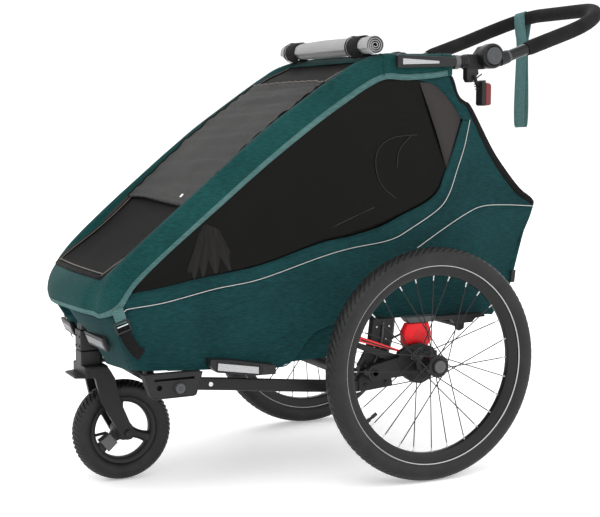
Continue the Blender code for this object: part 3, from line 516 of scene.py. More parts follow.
def grid(rows, bm=None, keep=None):
    """An open sheet on rows of points; keep(i, j) says which cells are there."""
    bm = bm or bmesh.new()
    verts = [[bm.verts.new(p) for p in row] for row in rows]
    for i in range(len(rows) - 1):
        for j in range(len(rows[0]) - 1):
            if keep is None or keep(i, j):
                cell = (verts[i][j], verts[i][j + 1], verts[i + 1][j + 1], verts[i + 1][j])
                bm.faces.new(cell)
    loose = [v for v in bm.verts if not v.link_faces]
    bmesh.ops.delete(bm, geom=loose, context="VERTS")
    return bm


def stitches(path, length=0.0035, gap=0.002, radius=0.00045, bm=None):
    """A row of stitches lying along a path."""
    bm = bm or bmesh.new()
    total = sum((b - a).length for a, b in zip(path, path[1:]))
    count = max(2, int(total / (length + gap)))
    spots = even_line(path, count * 2)
    for a, b in zip(spots[::2], spots[1::2]):
        side = Vector((0.3, 0.5, 0.8)).normalized()
        sweep([a, b], circle(radius, 5), side, bm=bm)
    return bm


def ruffle(point, size, frequency, seed=0.0):
    """Smooth noise of a place, between -size and size."""
    return size * noise.noise(Vector(point) * frequency + Vector((seed, seed * 2, 0)))


# ---------------------------------------------------------------- stage and camera

def make_stage():
    mesh = bpy.data.meshes.new("floor")
    bm = bmesh.new()
    bmesh.ops.create_grid(bm, x_segments=1, y_segments=1, size=40)
    bm.to_mesh(mesh)
    bm.free()
    floor = bpy.data.objects.new("floor", mesh)
    paint, _, shader = new_paint("pale_floor", (0.95, 0.95, 0.95), 0.85)
    shader.inputs["Specular IOR Level"].default_value = 0.15
    shader.inputs["Emission Color"].default_value = (1, 1, 1, 1)
    shader.inputs["Emission Strength"].default_value = 0.28
    mesh.materials.append(paint)
    bpy.context.scene.collection.objects.link(floor)

    world = bpy.data.worlds.new("studio")
    world.use_nodes = True
    world.node_tree.nodes["Background"].inputs["Color"].default_value = (1, 1, 1, 1)
    world.node_tree.nodes["Background"].inputs["Strength"].default_value = 1.12
    bpy.context.scene.world = world
    bpy.context.scene.view_settings.view_transform = "Standard"

    target = Vector((0, Y0 - 0.1, 0.45))
    for name, place, size, power in (("key", (2.2, -1.6, 3.2), 3.2, 52),
            ("fill", (3.4, 2.4, 1.8), 3.0, 28), ("back", (-2.6, 1.2, 3.0), 3.0, 40)):
        light = bpy.data.lights.new(name, "AREA")
        light.size = size
        light.energy = power
        lamp = bpy.data.objects.new(name, light)
        lamp.location = place
        lamp.rotation_mode = "QUATERNION"
        lamp.rotation_quaternion = (target - Vector(place)).to_track_quat("-Z", "Y")
        bpy.context.scene.collection.objects.link(lamp)


def make_camera():
    data = bpy.data.cameras.new("camera")
    data.sensor_width = 36
    data.lens = 77.3
    camera = bpy.data.objects.new("camera", data)
    camera.location = (2.596, -1.427 + Y0, 0.776)
    camera.rotation_mode = "QUATERNION"
    camera.rotation_quaternion = Vector((-0.894, 0.4341, -0.1109)).to_track_quat("-Z", "Y")
    bpy.context.scene.collection.objects.link(camera)
    bpy.context.scene.camera = camera


# ---------------------------------------------------------------- wheels

GROOVE_STEPS = 2          # of the steps that a block and its groove take
TREAD_DEEP = 0.0115       # the tread ends this far below the crown
CENTRE_GROOVE = 0.0018    # half its width


def treaded(half, blocks, steps, lean, depth, tread_half, stripe=None):
    """A tyre with slanted grooves; half is its outline as (radius, x), from bead to crown."""
    columns = [(r, -x) for r, x in half] + [(r, x) for r, x in reversed(half[:-1])]
    bm = bmesh.new()
    rows = []
    crown = half[-1][0]
    for i in range(blocks * steps):
        row = []
        for r, x in columns:
            shear = lean * min(1.0, abs(x) / tread_half)
            on_block = i % steps >= GROOVE_STEPS
            in_tread = 0.0022 < abs(x) < tread_half and r > crown - TREAD_DEEP
            low = depth if in_tread and not on_block else 0.0
            if abs(x) < CENTRE_GROOVE and r >= crown - 0.0002:
                low = depth * 0.6
            turn = 2 * pi * i / (blocks * steps) + shear
            row.append(polar(r - low, turn, x))
        rows.append(row)
    skin(bm, rows, True, False)
    if stripe:
        for face in bm.faces:
            middle = face.calc_center_median()
            radius = (middle.y ** 2 + middle.z ** 2) ** 0.5
            if stripe[0] < radius < stripe[1] and abs(middle.x) > 0.012:
                face.material_index = 1
    return bm


REAR_TYRE_HALF = [
    (0.2093, 0.0105), (0.21, 0.0134), (0.211, 0.0156), (0.2127, 0.0172), (0.2142, 0.0186),
    (0.2185, 0.0212), (0.2245, 0.0229), (0.2315, 0.0235), (0.2378, 0.0225), (0.2422, 0.0202),
    (0.2444, 0.0178), (0.2462, 0.015), (0.2477, 0.012), (0.2488, 0.0088), (0.2495, 0.0056),
    (0.2499, 0.0026), (0.25, 0.0)]
FRONT_TYRE_HALF = [
    (0.0705, 0.012), (0.0716, 0.015), (0.075, 0.0184), (0.0805, 0.0216), (0.087, 0.0236),
    (0.0935, 0.024), (0.0985, 0.0226), (0.1014, 0.02), (0.1036, 0.0168), (0.1053, 0.013),
    (0.1066, 0.0092), (0.1075, 0.0054), (0.1079, 0.0024), (0.108, 0.0)]


def spoke_ends(index, side):
    """A spoke from its hub flange to the rim, laid almost along the flange's edge."""
    turn = 2 * pi * (index + (0.5 if side > 0 else 0.0)) / (SPOKES / 2)
    lean = radians(74) * (1 if index % 2 else -1)
    hub = polar(0.0205, turn + lean, side * 0.0255)
    rim = polar(RIM_INNER + 0.001, turn, side * 0.0022)
    return hub, rim


def make_rear_wheel(name, sign):
    body = name + "_wheel"
    centre = (sign * WHEEL_X, 0, WHEEL_RADIUS)
    tread = treaded(REAR_TYRE_HALF, 96, 6, 0.085, 0.0022, 0.0186, (0.2108, 0.2127))
    piece(name + "_wheel_tyre", tread, ["tyre", "stripe"], body, [name + "_tyre"], 40, centre)

    rim = [
        (RIM_INNER, -0.004), (RIM_INNER, 0.004), (0.1905, 0.0066), (0.1945, 0.0094), (0.201, 0.011),
        (0.2075, 0.0122), (0.2096, 0.0128), (0.2098, 0.0112), (0.2082, 0.01), (0.207, 0.003)]
    rim += [(r, -x) for r, x in reversed(rim[2:])]
    piece(name + "_wheel_rim", lathe(rim, 120, True), "anodised", body, [name + "_rim"], 30, centre)

    spokes, nipples = bmesh.new(), bmesh.new()
    for side in (-1, 1):
        for i in range(SPOKES // 2):
            hub_end, rim_end = spoke_ends(i, side)
            tube([hub_end, rim_end], 0.0012, 8, spokes, Vector((0.3, 0.5, 0.8)).normalized())
            inner = rim_end.lerp(hub_end, 0.075)
            tube([rim_end, rim_end.lerp(inner, 0.25)], 0.0022, 8, nipples, SIDEWAYS)
            tube([rim_end.lerp(inner, 0.25), inner.lerp(rim_end, 0.2)], 0.0014, 8, nipples,
                    SIDEWAYS)
    piece(name + "_wheel_spokes", spokes, "plastic", body, sharp=50, centre=centre,
            slot="hub_metal")
    piece(name + "_spoke_nipples", nipples, "steel", body, sharp=50, centre=centre)

    shell = [
        (0.0068, -0.031), (0.015, -0.031), (0.0185, -0.0295), (0.023, -0.0282), (0.024, -0.027),
        (0.024, -0.0245), (0.0225, -0.0232), (0.0172, -0.0205), (0.015, -0.0165), (0.0146, 0.0),
        (0.015, 0.0165), (0.0172, 0.0205), (0.0225, 0.0232), (0.024, 0.0245), (0.024, 0.027),
        (0.0225, 0.028), (0.018, 0.0284), (0.015, 0.0284), (0.015, 0.024), (0.0068, 0.024)]
    hub = lathe([(r, sign * x) for r, x in shell], 48, True)
    for turn in around(SPOKES):
        puck(0.0014, 0, sign * 0.0011, 0.0004, 8, "X", polar(0.0208, turn, sign * 0.0278), hub)
    for turn in around(HUB_RIBS):
        puck(0.0009, sign * 0.0275, sign * 0.0298, 0.0003, 6, "X", polar(0.0163, turn), hub)
    piece(name + "_wheel_hub", hub, "anodised", body, [name + "_hub_and_spokes"], centre=centre)

    cap = [
        (0, 0.036), (0.006, 0.036), (0.0105, 0.0354), (0.0126, 0.0343), (0.0134, 0.0325),
        (0.0134, 0.0312), (0.0122, 0.0296), (0.0062, 0.0294), (0.006, -0.052), (0.0052, -0.054),
        (0, -0.054)]
    piece(name + "_axle_button", lathe([(r, sign * x) for r, x in cap], 48), "light_plastic",
            name + "_axle_pin", [name + "_quick_release"], 30, centre)
    ring = [(0.0136, 0.029), (0.015, 0.0296), (0.0156, 0.0318), (0.0148, 0.033), (0.0138, 0.0326)]
    piece(name + "_hub_seal", lathe([(r, sign * x) for r, x in ring], 48, True), "soft_plastic",
            body, sharp=30, centre=centre)

    valve_turn = atan2(-0.1, -0.145)
    out = polar(1, valve_turn)
    root = out * (RIM_INNER + 0.001)
    valve = tube([root, root - out * 0.008], 0.0042, 14)
    tube([root - out * 0.008, root - out * 0.017], 0.003, 14, valve)
    piece(name + "_valve", valve, "tyre", body, sharp=40, centre=centre)
    piece(name + "_valve_cap", tube([root - out * 0.0155, root - out * 0.027], 0.0038, 12),
            "soft_plastic", body, sharp=40, centre=centre)


def make_front_wheel():
    centre = (0, FRONT_AXLE_Y, FRONT_RADIUS)
    tread = treaded(FRONT_TYRE_HALF, 62, 5, 0.12, 0.0026, 0.023)
    piece("nose_wheel_tyre", tread, "tyre", "nose_wheel", ["front_tyre"], 40, centre)

    rim = [
        (0.06, -0.005), (0.06, 0.005), (0.0618, 0.0105), (0.066, 0.0138), (0.0712, 0.0146),
        (0.0722, 0.0128), (0.07, 0.0112), (0.068, 0.006)]
    rim += [(r, -x) for r, x in reversed(rim[2:])]
    wheel = lathe(rim, 96, True)
    hub = [
        (0.0056, -0.03), (0.015, -0.03), (0.0165, -0.0285), (0.0185, -0.021), (0.0205, -0.018),
        (0.0205, 0.018), (0.0185, 0.021), (0.0165, 0.0285), (0.015, 0.03), (0.0056, 0.03)]
    lathe(hub, 48, True, bm=wheel)
    for i in range(3):
        out = polar(1, radians(98 + 120 * i))
        section = flat_section(0.024, 0.019)
        sizes = lambda t: 0.8 + 0.75 * (2 * t - 1) ** 2 * 0.45
        line = [out * (0.018 + 0.0075 * k) for k in range(7)]
        sweep(line, section, SIDEWAYS.cross(out), bm=wheel, sizes=sizes)
    piece("nose_wheel_rim", wheel, "soft_plastic", "nose_wheel", ["front_rim"], centre=centre)

    turn = radians(218)
    out, along = polar(1, turn), polar(1, turn + pi / 2)
    for sign, side in ((1, "left"), (-1, "right")):
        corners = [out * a + along * b for a, b in ((0.026, -0.0125), (0.053, -0.0145),
                (0.053, 0.0145), (0.026, 0.0125))]
        outline = [(p.y, p.z) for p in corners]
        plate("nose_wheel_reflector_" + side, outline, sign * 0.0095, sign * 0.0135,
                "light_plastic", "nose_wheel", 0.0012, centre=centre, slot="reflector")
    root = polar(0.0605, radians(188))
    inward = -root.normalized()
    piece("nose_wheel_valve", tube([root, root + inward * 0.016, root + inward * 0.026], 0.0032,
            12), "tyre", "nose_wheel", sharp=40, centre=centre)


for side_name, side_sign in SIDES:
    make_rear_wheel(side_name, side_sign)
make_front_wheel()


# ---------------------------------------------------------------- hood

# Side-view lines of the hood from nose to handle: its lower edge, the roof's
# edge and the roof's middle.
HOOD_STATIONS = [
    ((0.154, -0.683, 0.375), (0.145, -0.69, 0.378), (-0.73, 0.388)),
    ((0.176, -0.673, 0.38), (0.156, -0.69, 0.401), (-0.738, 0.41)),
    ((0.195, -0.663, 0.388), (0.169, -0.687, 0.428), (-0.728, 0.438)),
    ((0.206, -0.651, 0.4015), (0.183, -0.677, 0.452), (-0.7, 0.458)),
    ((HOOD_X, -0.64, 0.421), (0.19, -0.658, 0.476), (-0.66, 0.471)),
    ((HOOD_X, -0.62, 0.447), (0.196, -0.625, 0.509), (-0.619, 0.496)),
    ((HOOD_X, -0.562, 0.499), (0.201, -0.554, 0.571), (-0.547, 0.553)),
    ((HOOD_X, -0.456, 0.584), (0.203, -0.457, 0.652), (-0.454, 0.637)),
    ((HOOD_X, -0.34, 0.676), (0.203, -0.347, 0.7405), (-0.349, 0.731)),
    ((HOOD_X, -0.228, 0.757), (0.203, -0.243, 0.813), (-0.246, 0.807)),
    ((HOOD_X, -0.156, 0.804), (0.204, -0.172, 0.86), (-0.174, 0.855)),
    ((HOOD_X, -0.11, 0.832), (0.204, -0.126, 0.886), (-0.124, 0.877)),
    ((HOOD_X, -0.067, 0.85), (0.203, -0.066, 0.903), (-0.066, 0.904)),
    ((HOOD_X, -0.02, 0.849), (0.203, -0.02, 0.904), (-0.02, 0.905)),
    ((HOOD_X, 0.04, 0.853), (0.203, 0.04, 0.905), (0.04, 0.906)),
    ((HOOD_X, 0.098, 0.861), (0.203, 0.1, 0.907), (0.1, 0.907))]
PER_STATION = 5
PER_COLUMN = 5
WINDOW_FIRST, WINDOW_LAST = 3, 11.3
SHADE_FIRST, SHADE_LAST = 6.45, 9.6
LIP_COLUMN = 7            # control column of the window's lip
HOOD_THICKNESS = 0.0016


def ease(value, low, high):
    t = min(1.0, max(0.0, (value - low) / (high - low)))
    return t * t * (3 - 2 * t)


def hood_half(low, edge, middle, station):
    """Control points from the hood's lower edge up over the rail to the middle."""
    low, edge, middle = Vector(low), Vector(edge), Vector((0, *middle))
    rise = Vector((0, edge.y - low.y, edge.z - low.z)).normalized()
    dip = ease(station, 3.2, 6.0)

    def inside(distance, part, lift=0.0):
        spot = edge.lerp(middle, part) + rise * lift
        return Vector((edge.x - distance, spot.y, spot.z))

    return [low, low.lerp(edge, 0.3) + SIDEWAYS * 0.0012, low.lerp(edge, 0.62) + SIDEWAYS * 0.002,
            low.lerp(edge, 0.86) + SIDEWAYS * 0.0018, inside(-0.0015, 0, -0.003),
            inside(0.006, 0, 0.0012), inside(0.0145, 0.1 + 0.16 * dip, 0.001),
            inside(0.023, 0.24 + 0.68 * dip), inside(0.24 * edge.x, 0.46 + 0.5 * dip),
            inside(0.58 * edge.x, 0.8 + 0.18 * dip), middle]


def hood_surface():
    """The whole hood as rows of points from the left edge over the roof to the right."""
    fine = smooth_line([(*a, *b, *c) for a, b, c in HOOD_STATIONS], PER_STATION)
    rows = []
    for i, v in enumerate(fine):
        half = hood_half(v[0:3], v[3:6], v[6:8], i / PER_STATION)
        whole = half + on_side(reversed(half[:-1]), -1)
        rows.append(smooth_line(whole, PER_COLUMN))
    return rows


def soften(rows, size=0.0011, frequency=14, seed=0.0):
    """Small unevenness of stretched cloth, only up and down and in, never out."""
    out = []
    for row in rows:
        out.append([p + Vector((0, 0, ruffle(p, size, frequency,
                seed) * (1 - ease(abs(p.x), 0.19, 0.205)))) for p in row])
    return out


HOOD = hood_surface()
LAST_ROW, LAST_COLUMN = len(HOOD) - 1, len(HOOD[0]) - 1
LIP = LIP_COLUMN * PER_COLUMN


def hood_row(station):
    """A row of the hood at any station along it."""
    place = min(station * PER_STATION, LAST_ROW - 1e-06)
    k = int(place)
    return [a.lerp(b, place - k) for a, b in zip(HOOD[k], HOOD[k + 1])]


def along_row(row, distance):
    """The point a distance along a row from its first point."""
    for a, b in zip(row, row[1:]):
        span = (b - a).length
        if distance <= span:
            return a.lerp(b, distance / span)
        distance -= span
    return row[-1]


def in_window(i, j):
    return WINDOW_FIRST <= i / PER_STATION < WINDOW_LAST and LIP <= j < LAST_COLUMN - LIP


def make_hood():
    piece("hood_shell", grid(soften(HOOD), keep=lambda i, j: not in_window(i, j)), "hood",
            "upper_frame", ["hood_cover"], 60, cloth=HOOD_THICKNESS)

    net_rows = []
    steps = 70
    for i in range(steps + 1):
        station = WINDOW_FIRST - 0.12 + (WINDOW_LAST + 0.2 - WINDOW_FIRST) * i / steps
        row = hood_row(station)[LIP - 3:LAST_COLUMN - LIP + 4]
        sag = Vector((0, 0, -0.0022))
        net_rows.append([p + sag + Vector((0, 0, ruffle(p, 0.0016, 9, 3))) for p in row])
    piece("front_net", grid(net_rows), "net", "upper_frame", ["front_window"], 60, cloth=0.0008)


def make_window_trim():
    """The zip band below the window, its beige tape, and the lip's black edging."""
    band, tape = [], []
    for k in range(5):
        band.append([p + Vector((0, -0.001, 0.0012))
                for p in hood_row(WINDOW_FIRST - 0.05 + 0.085 * k)[LIP:LAST_COLUMN - LIP + 1]])
    for k in range(3):
        tape.append([p + Vector((0, -0.0012, 0.0016))
                for p in hood_row(WINDOW_FIRST + 0.42 + 0.035 * k)[LIP + 2:LAST_COLUMN - LIP - 1]])
    piece("window_zip_band", grid(band), "black_cloth", "upper_frame", sharp=60, cloth=0.0012)
    piece("window_zip_tape", grid(tape), "zip", "upper_frame", sharp=60, cloth=0.0008)
    for name, sign in SIDES:
        column = LIP if sign > 0 else LAST_COLUMN - LIP
        line = [HOOD[i][column] + Vector((-sign * 0.0008, 0, 0.0004))
                for i in range(WINDOW_FIRST * PER_STATION, int(WINDOW_LAST * PER_STATION) + 1)]
        piece(name + "_window_edging", sweep(line, flat_section(0.0095, 0.0018)), "black_webbing",
                "upper_frame", sharp=50)
        tape_line = [p + Vector((-sign * 0.0095, 0, 0.0004)) for p in line]
        piece(name + "_window_tape", sweep(tape_line, flat_section(0.003, 0.001)), "zip",
                "upper_frame", sharp=50)


def shade_rows():
    """The sunshade's cloth: wavy at its sides, softly folded across."""
    steps, rows = 72, []
    for i in range(steps + 1):
        t = i / steps
        row = hood_row(SHADE_FIRST + (SHADE_LAST - SHADE_FIRST) * t)
        line = row[LIP - 2:LAST_COLUMN - LIP + 3]
        count = len(line)
        width = abs(line[0].x) - 0.004 + 0.0028 * sin(2 * pi * (7 * t
                + 0.2)) + 0.0012 * sin(2 * pi * 17 * t)
        gather = 0.0016 * sin(2 * pi * 23 * t) * ease(abs(t - 0.5), 0.4, 0.5)
        points = []
        for j, p in enumerate(line):
            u = j / (count - 1) * 2 - 1
            fold = 0.003 * sin(2 * pi * (5.2 * t + 0.15 * sin(3 * u))) * (1 - u * u * 0.6)
            fold += 0.0018 * sin(2 * pi * (11.3 * t + 0.4 * u) + 1.3) + ruffle(p, 0.0012, 22, 7)
            puff = 0.002 + 0.0055 * ease(1 - abs(u), 0.0, 0.25)
            x = -u * width
            points.append(Vector((x, p.y, p.z + fold * 0.8 + puff * 0.75 + gather)))
        rows.append(points)
    return rows


def make_shade():
    rows = shade_rows()
    shade = piece("sunshade", grid(rows), "shade", "upper_frame", sharp=60, cloth=0.0009)
    for name, column in (("left", 0), ("right", -1)):
        line = [row[column] + Vector((0, 0, 0.0004)) for row in rows]
        edging = tube(line, 0.0021, 8)
        piece(name + "_sunshade_edge", edging, "black_webbing", "upper_frame",
                sharp=60)
    for name, row in (("lower", rows[0]), ("upper", rows[-1])):
        line = [p + Vector((0, 0, 0.0003 + 0.001 * sin(j * 2.1))) for j, p in enumerate(row)]
        key = "black_webbing" if name == "lower" else "zip"
        piece(name + "_sunshade_edge", tube(line, 0.0013, 8, side=UP), key,
                "upper_frame", sharp=60, slot="dark_mesh")
    tag_spot = rows[3][6]
    tag_tilt = (rows[6][6] - rows[2][6]).normalized()
    tag = [tag_spot + tag_tilt * a + SIDEWAYS * b + Vector((0, -0.001, 0.0016)) for a,
            b in ((0, -0.0045), (0, 0.0045), (0.009, 0.0045), (0.009, -0.0045))]
    label = grid([[tag[0], tag[1]], [tag[3], tag[2]]])
    piece("sunshade_tag", label, "white_plastic", "upper_frame", cloth=0.0006)


def make_binding():
    """The light tape sewn along the hood's lower edge and round its nose."""
    width, lift = 0.0125, 0.0007
    for name, sign in SIDES:
        rows = []
        for i in range(1, LAST_ROW):
            row = HOOD[i][::sign]
            rows.append([along_row(row, width * k / 3) + Vector((sign * lift, 0, 0))
                    for k in range(4)])
        piece(name + "_binding", grid(rows), "binding", "upper_frame", sharp=60, cloth=0.0011)
        for inset in (0.0018, 0.0107):
            line = [along_row(HOOD[i][::sign], inset) + Vector((sign * 0.0014, 0, 0))
                    for i in range(1, LAST_ROW)]
            piece(name + "_binding_stitches_%d" % round(inset * 10000.0), stitches(line), "webbing",
                    "upper_frame")
    rows = []
    for k in range(4):
        line = []
        for j in range(1, LAST_COLUMN):
            column = [HOOD[i][j] for i in range(3 * PER_STATION)]
            p = along_row(column, 0.0015 + width * 0.8 * k / 3)
            line.append(p + Vector((0, -0.001, -0.0002)))
        rows.append(line)
    piece("nose_binding", grid(rows), "binding", "upper_frame", sharp=60, cloth=0.0011)


def make_hood_seams():
    """The sewn seams of the roof, each a pressed groove's raised lip and its stitches."""
    for label, station in (("flap", 11.9), ("rear", 14.6)):
        row = hood_row(station)
        start = 2 if label == "flap" else 4
        line = [p + Vector((0, 0, 0.0006)) for p in row[start:LAST_COLUMN - start + 1]]
        line = [p + Vector((0.0007 if p.x > 0.2 else -0.0007 if p.x < -0.2 else 0, 0, 0))
                for p in line]
        piece("roof_%s_seam" % label, tube(line, 0.001, 6), "hood", "upper_frame", sharp=60)
    for name, sign in SIDES:
        line = []
        for i in range(4 * PER_STATION, int(11.5 * PER_STATION)):
            line.append(HOOD[i][::sign][6 * PER_COLUMN] + Vector((0, 0, 0.0006)))
        piece(name + "_roof_stitches", stitches(line, radius=0.0004), "panel", "upper_frame")


make_hood()
make_window_trim()
make_shade()
make_binding()
make_hood_seams()


# ---------------------------------------------------------------- body cloth

# Where the side cloth stands: its height at the bottom and at the top, from
# the back wall along the side to the middle of the nose.
BODY_STATIONS = [
    (0.205, (0.214, 0.33), (0.262, 0.397)), (BODY_X, (0.212, 0.33), (0.272, 0.431)),
    (BODY_X, (0.209, 0.33), (0.297, 0.517)), (BODY_X, (0.205, 0.331), (0.321, 0.571)),
    (BODY_X, (0.2, 0.331), (0.316, 0.589)), (BODY_X, (0.185, 0.332), (0.278, 0.617)),
    (BODY_X, (0.16, 0.333), (0.215, 0.69)), (BODY_X, (0.14, 0.334), (0.178, 0.745)),
    (BODY_X, (0.125, 0.335), (0.152, 0.791)), (BODY_X, (0.115, 0.335), (0.147, 0.765)),
    (BODY_X, (0.1, 0.336), (0.134, 0.708)), (BODY_X, (0.082, 0.336), (0.115, 0.655)),
    (BODY_X, (0.06, 0.337), (0.096, 0.605)), (BODY_X, (0.035, 0.339), (0.069, 0.572)),
    (BODY_X, (0.0, 0.341), (0.0, 0.532)), (BODY_X, (-0.053, 0.343), (-0.053, 0.509)),
    (BODY_X, (-0.11, 0.346), (-0.15, 0.495)), (BODY_X, (-0.165, 0.342), (-0.222, 0.479)),
    (BODY_X, (-0.215, 0.33), (-0.29, 0.46)), (BODY_X, (-0.25, 0.31), (-0.359, 0.441)),
    (BODY_X, (-0.278, 0.272), (-0.41, 0.434)), (BODY_X, (-0.322, 0.255), (-0.457, 0.427)),
    (BODY_X, (-0.43, 0.262), (-0.51, 0.416)), (BODY_X, (-0.52, 0.267), (-0.564, 0.406)),
    (0.2055, (-0.58, 0.27), (-0.61, 0.402)), (0.2042, (-0.607, 0.272), (-0.634, 0.397)),
    (0.194, (-0.622, 0.272), (-0.655, 0.387)), (0.164, (-0.632, 0.27), (-0.676, 0.38)),
    (0.09, (-0.641, 0.267), (-0.707, 0.382)), (0.0, (-0.645, 0.264), (-0.722, 0.388))]
PIPING_1 = [
    (-0.65, 0.392), (-0.639, 0.398), (-0.564, 0.406), (-0.457, 0.427), (-0.359, 0.441),
    (-0.222, 0.479), (-0.15, 0.495), (-0.053, 0.509), (0.0, 0.532), (0.069, 0.572), (0.096, 0.605),
    (0.115, 0.655), (0.134, 0.708), (0.147, 0.765)]
PIPING_2 = [
    (0.016, 0.489), (0.077, 0.525), (0.136, 0.557), (0.18, 0.574), (0.238, 0.576), (0.319, 0.571)]
WINDOW_EDGE = [
    (-0.65, 0.42), (-0.632, 0.427), (-0.577, 0.434), (-0.493, 0.449), (-0.359, 0.469),
    (-0.222, 0.508), (-0.15, 0.52), (-0.076, 0.538), (-0.02, 0.562), (0.038, 0.587), (0.069, 0.613),
    (0.084, 0.649), (0.103, 0.692), (0.129, 0.765)]
WINDOW_TOP = [
    (-0.65, 0.43), (-0.634, 0.444), (-0.601, 0.474), (-0.566, 0.505), (-0.46, 0.59),
    (-0.344, 0.682), (-0.232, 0.763), (-0.16, 0.81), (-0.106, 0.842), (-0.067, 0.856),
    (0.012, 0.856), (0.048, 0.85), (0.073, 0.828), (0.129, 0.765)]
REAR_EDGE = [
    (0.098, 0.861), (0.118, 0.818), (0.136, 0.804), (0.152, 0.791), (0.215, 0.69), (0.278, 0.617),
    (0.316, 0.589), (0.321, 0.571)]
CASTER_NOTCH_X, CASTER_NOTCH_Y, CASTER_NOTCH_Z = 0.03, -0.606, 0.387
CASTER_KNOB_X, CASTER_POST_TOP = 0.017, 0.35


def notch(p):
    """Push the nose cloth back round the caster's post and fork."""
    half = CASTER_NOTCH_X if p.z < CASTER_POST_TOP else CASTER_KNOB_X
    ramp = 1 - ease(abs(p.x), half, half + 0.022)
    ramp *= 1 - ease(p.z, CASTER_NOTCH_Z - 0.01, CASTER_NOTCH_Z + 0.01)
    if p.y < CASTER_NOTCH_Y:
        p.y += (CASTER_NOTCH_Y - p.y) * ramp
    return p


def body_rows():
    """Rows from the back wall round the left side and nose to the right side."""
    half = smooth_line([(x, *low, *high) for x, low, high in BODY_STATIONS], 4)
    rows = []
    steps = 18
    for x, y0, z0, y1, z1 in half:
        low, high = Vector((x, y0, z0)), Vector((x, y1, z1))
        x = min(x, 0.2059)
        row = [low + Vector((-0.01, 0.0, 0.0005)), low + Vector((-0.003, 0, -0.0006))]
        for k in range(steps + 1):
            t = k / steps
            p = low.lerp(high, t)
            hollow = 0.002 * sin(pi * t) ** 2
            crease = 0.0007 * (noise.noise(Vector((p.y * 6, p.z * 30, 2.0))) - 0.4)
            inward = -(hollow + abs(crease)) * (1 - ease(abs(t - 0.5), 0.42, 0.5))
            p = Vector((x + inward, p.y, p.z)) if x > 0.12 else Vector((p.x, p.y - inward, p.z))
            row.append(notch(p))
        row[0], row[1] = notch(row[0]), notch(row[1])
        rows.append(row)
    return rows + [on_side(row, -1) for row in reversed(rows[:-1])]


def make_body():
    rows = body_rows()
    piece("body_cloth", grid(rows), "panel", replaces=["tub"], sharp=60, cloth=CLOTH, folds=True)

    wall = []
    for k in range(13):
        t = k / 12
        y, z = 0.214 + 0.048 * t, 0.33 + 0.067 * t
        row = []
        for j in range(41):
            u = 1 - 2 * j / 40
            bow = 0.006 * (1 - u * u)
            row.append(Vector((0.2048 * u, y + bow - 0.0012 * abs(sin(9 * u + 2 * t)), z)))
        wall.append(row)
    piece("back_wall_cloth", grid(wall), "panel", "chassis", sharp=60, cloth=CLOTH)


def strip_between(name, first, second, x, sign, paint, count=90, across=6, dish=0.0, ripple=0.0,
        **how):
    """Cloth between two lines of the side view; how goes to piece()."""
    a = even_line(side_line(first, x, sign), count)
    b = even_line(side_line(second, x, sign), count)
    rows = []
    for p, q in zip(a, b):
        row = []
        for k in range(across + 1):
            t = k / across
            point = p.lerp(q, t)
            point.x -= sign * (dish * sin(pi * t) + ripple * abs(noise.noise(point * 9)))
            row.append(point)
        rows.append(row)
    piece(name, grid(rows), paint, sharp=60, folds=True, **how)


def make_side(name, sign):
    strip_between(name + "_window_frame", PIPING_1, WINDOW_EDGE, STRIP_X, sign, "panel",
            replaces=[name + "_side_curtain"], cloth=CLOTH)
    corner_low = [
        (0.147, 0.765), (0.129, 0.765), (0.104, 0.796), (0.073, 0.828), (0.048, 0.843),
        (0.012, 0.85)]
    corner_high = [
        (0.152, 0.791), (0.14, 0.802), (0.118, 0.818), (0.098, 0.861), (0.055, 0.86),
        (0.012, 0.856)]
    strip_between(name + "_rear_corner_cloth", corner_low, corner_high, STRIP_X, sign, "panel", 40,
            4, cloth=CLOTH)

    strip_between(name + "_side_window", WINDOW_EDGE, WINDOW_TOP, 0.205, sign, "film", 110, 26,
            0.0045, 0.0022, cloth=0.0006)

    for label, line in (("front", PIPING_1), ("rear", PIPING_2)):
        piece("%s_%s_piping" % (name, label), tube(even_line(side_line(line, 0.2066, sign), 120),
                0.001, 8), "piping", sharp=60, folds=True)
    seam = even_line(side_line(WINDOW_EDGE, 0.2062, sign), 140)
    piece(name + "_window_seam", tube(seam, 0.0008, 6), "panel", sharp=60, folds=True)
    line = [p + Vector((sign * 0.0001, 0, -0.004)) for p in seam[:-3]]
    piece(name + "_window_stitches", stitches(line, radius=0.00035), "hood", folds=True)

    band = []
    for p, q in zip(even_line(side_line(REAR_EDGE, 0.2064, sign), 60),
            even_line(side_line([(0.094, 0.855), (0.112, 0.815), (0.124, 0.8), (0.14, 0.789),
            (0.203, 0.682), (0.268, 0.605), (0.308, 0.58), (0.3155, 0.573)], 0.2064, sign), 60)):
        band.append([q, q.lerp(p, 0.5), p, p + Vector((-sign * 0.004, 0.0008, 0.0005)),
                p + Vector((-sign * 0.01, 0, 0))])
    piece(name + "_rear_edge_band", grid(band), "black_webbing", sharp=60, cloth=CLOTH, folds=True)


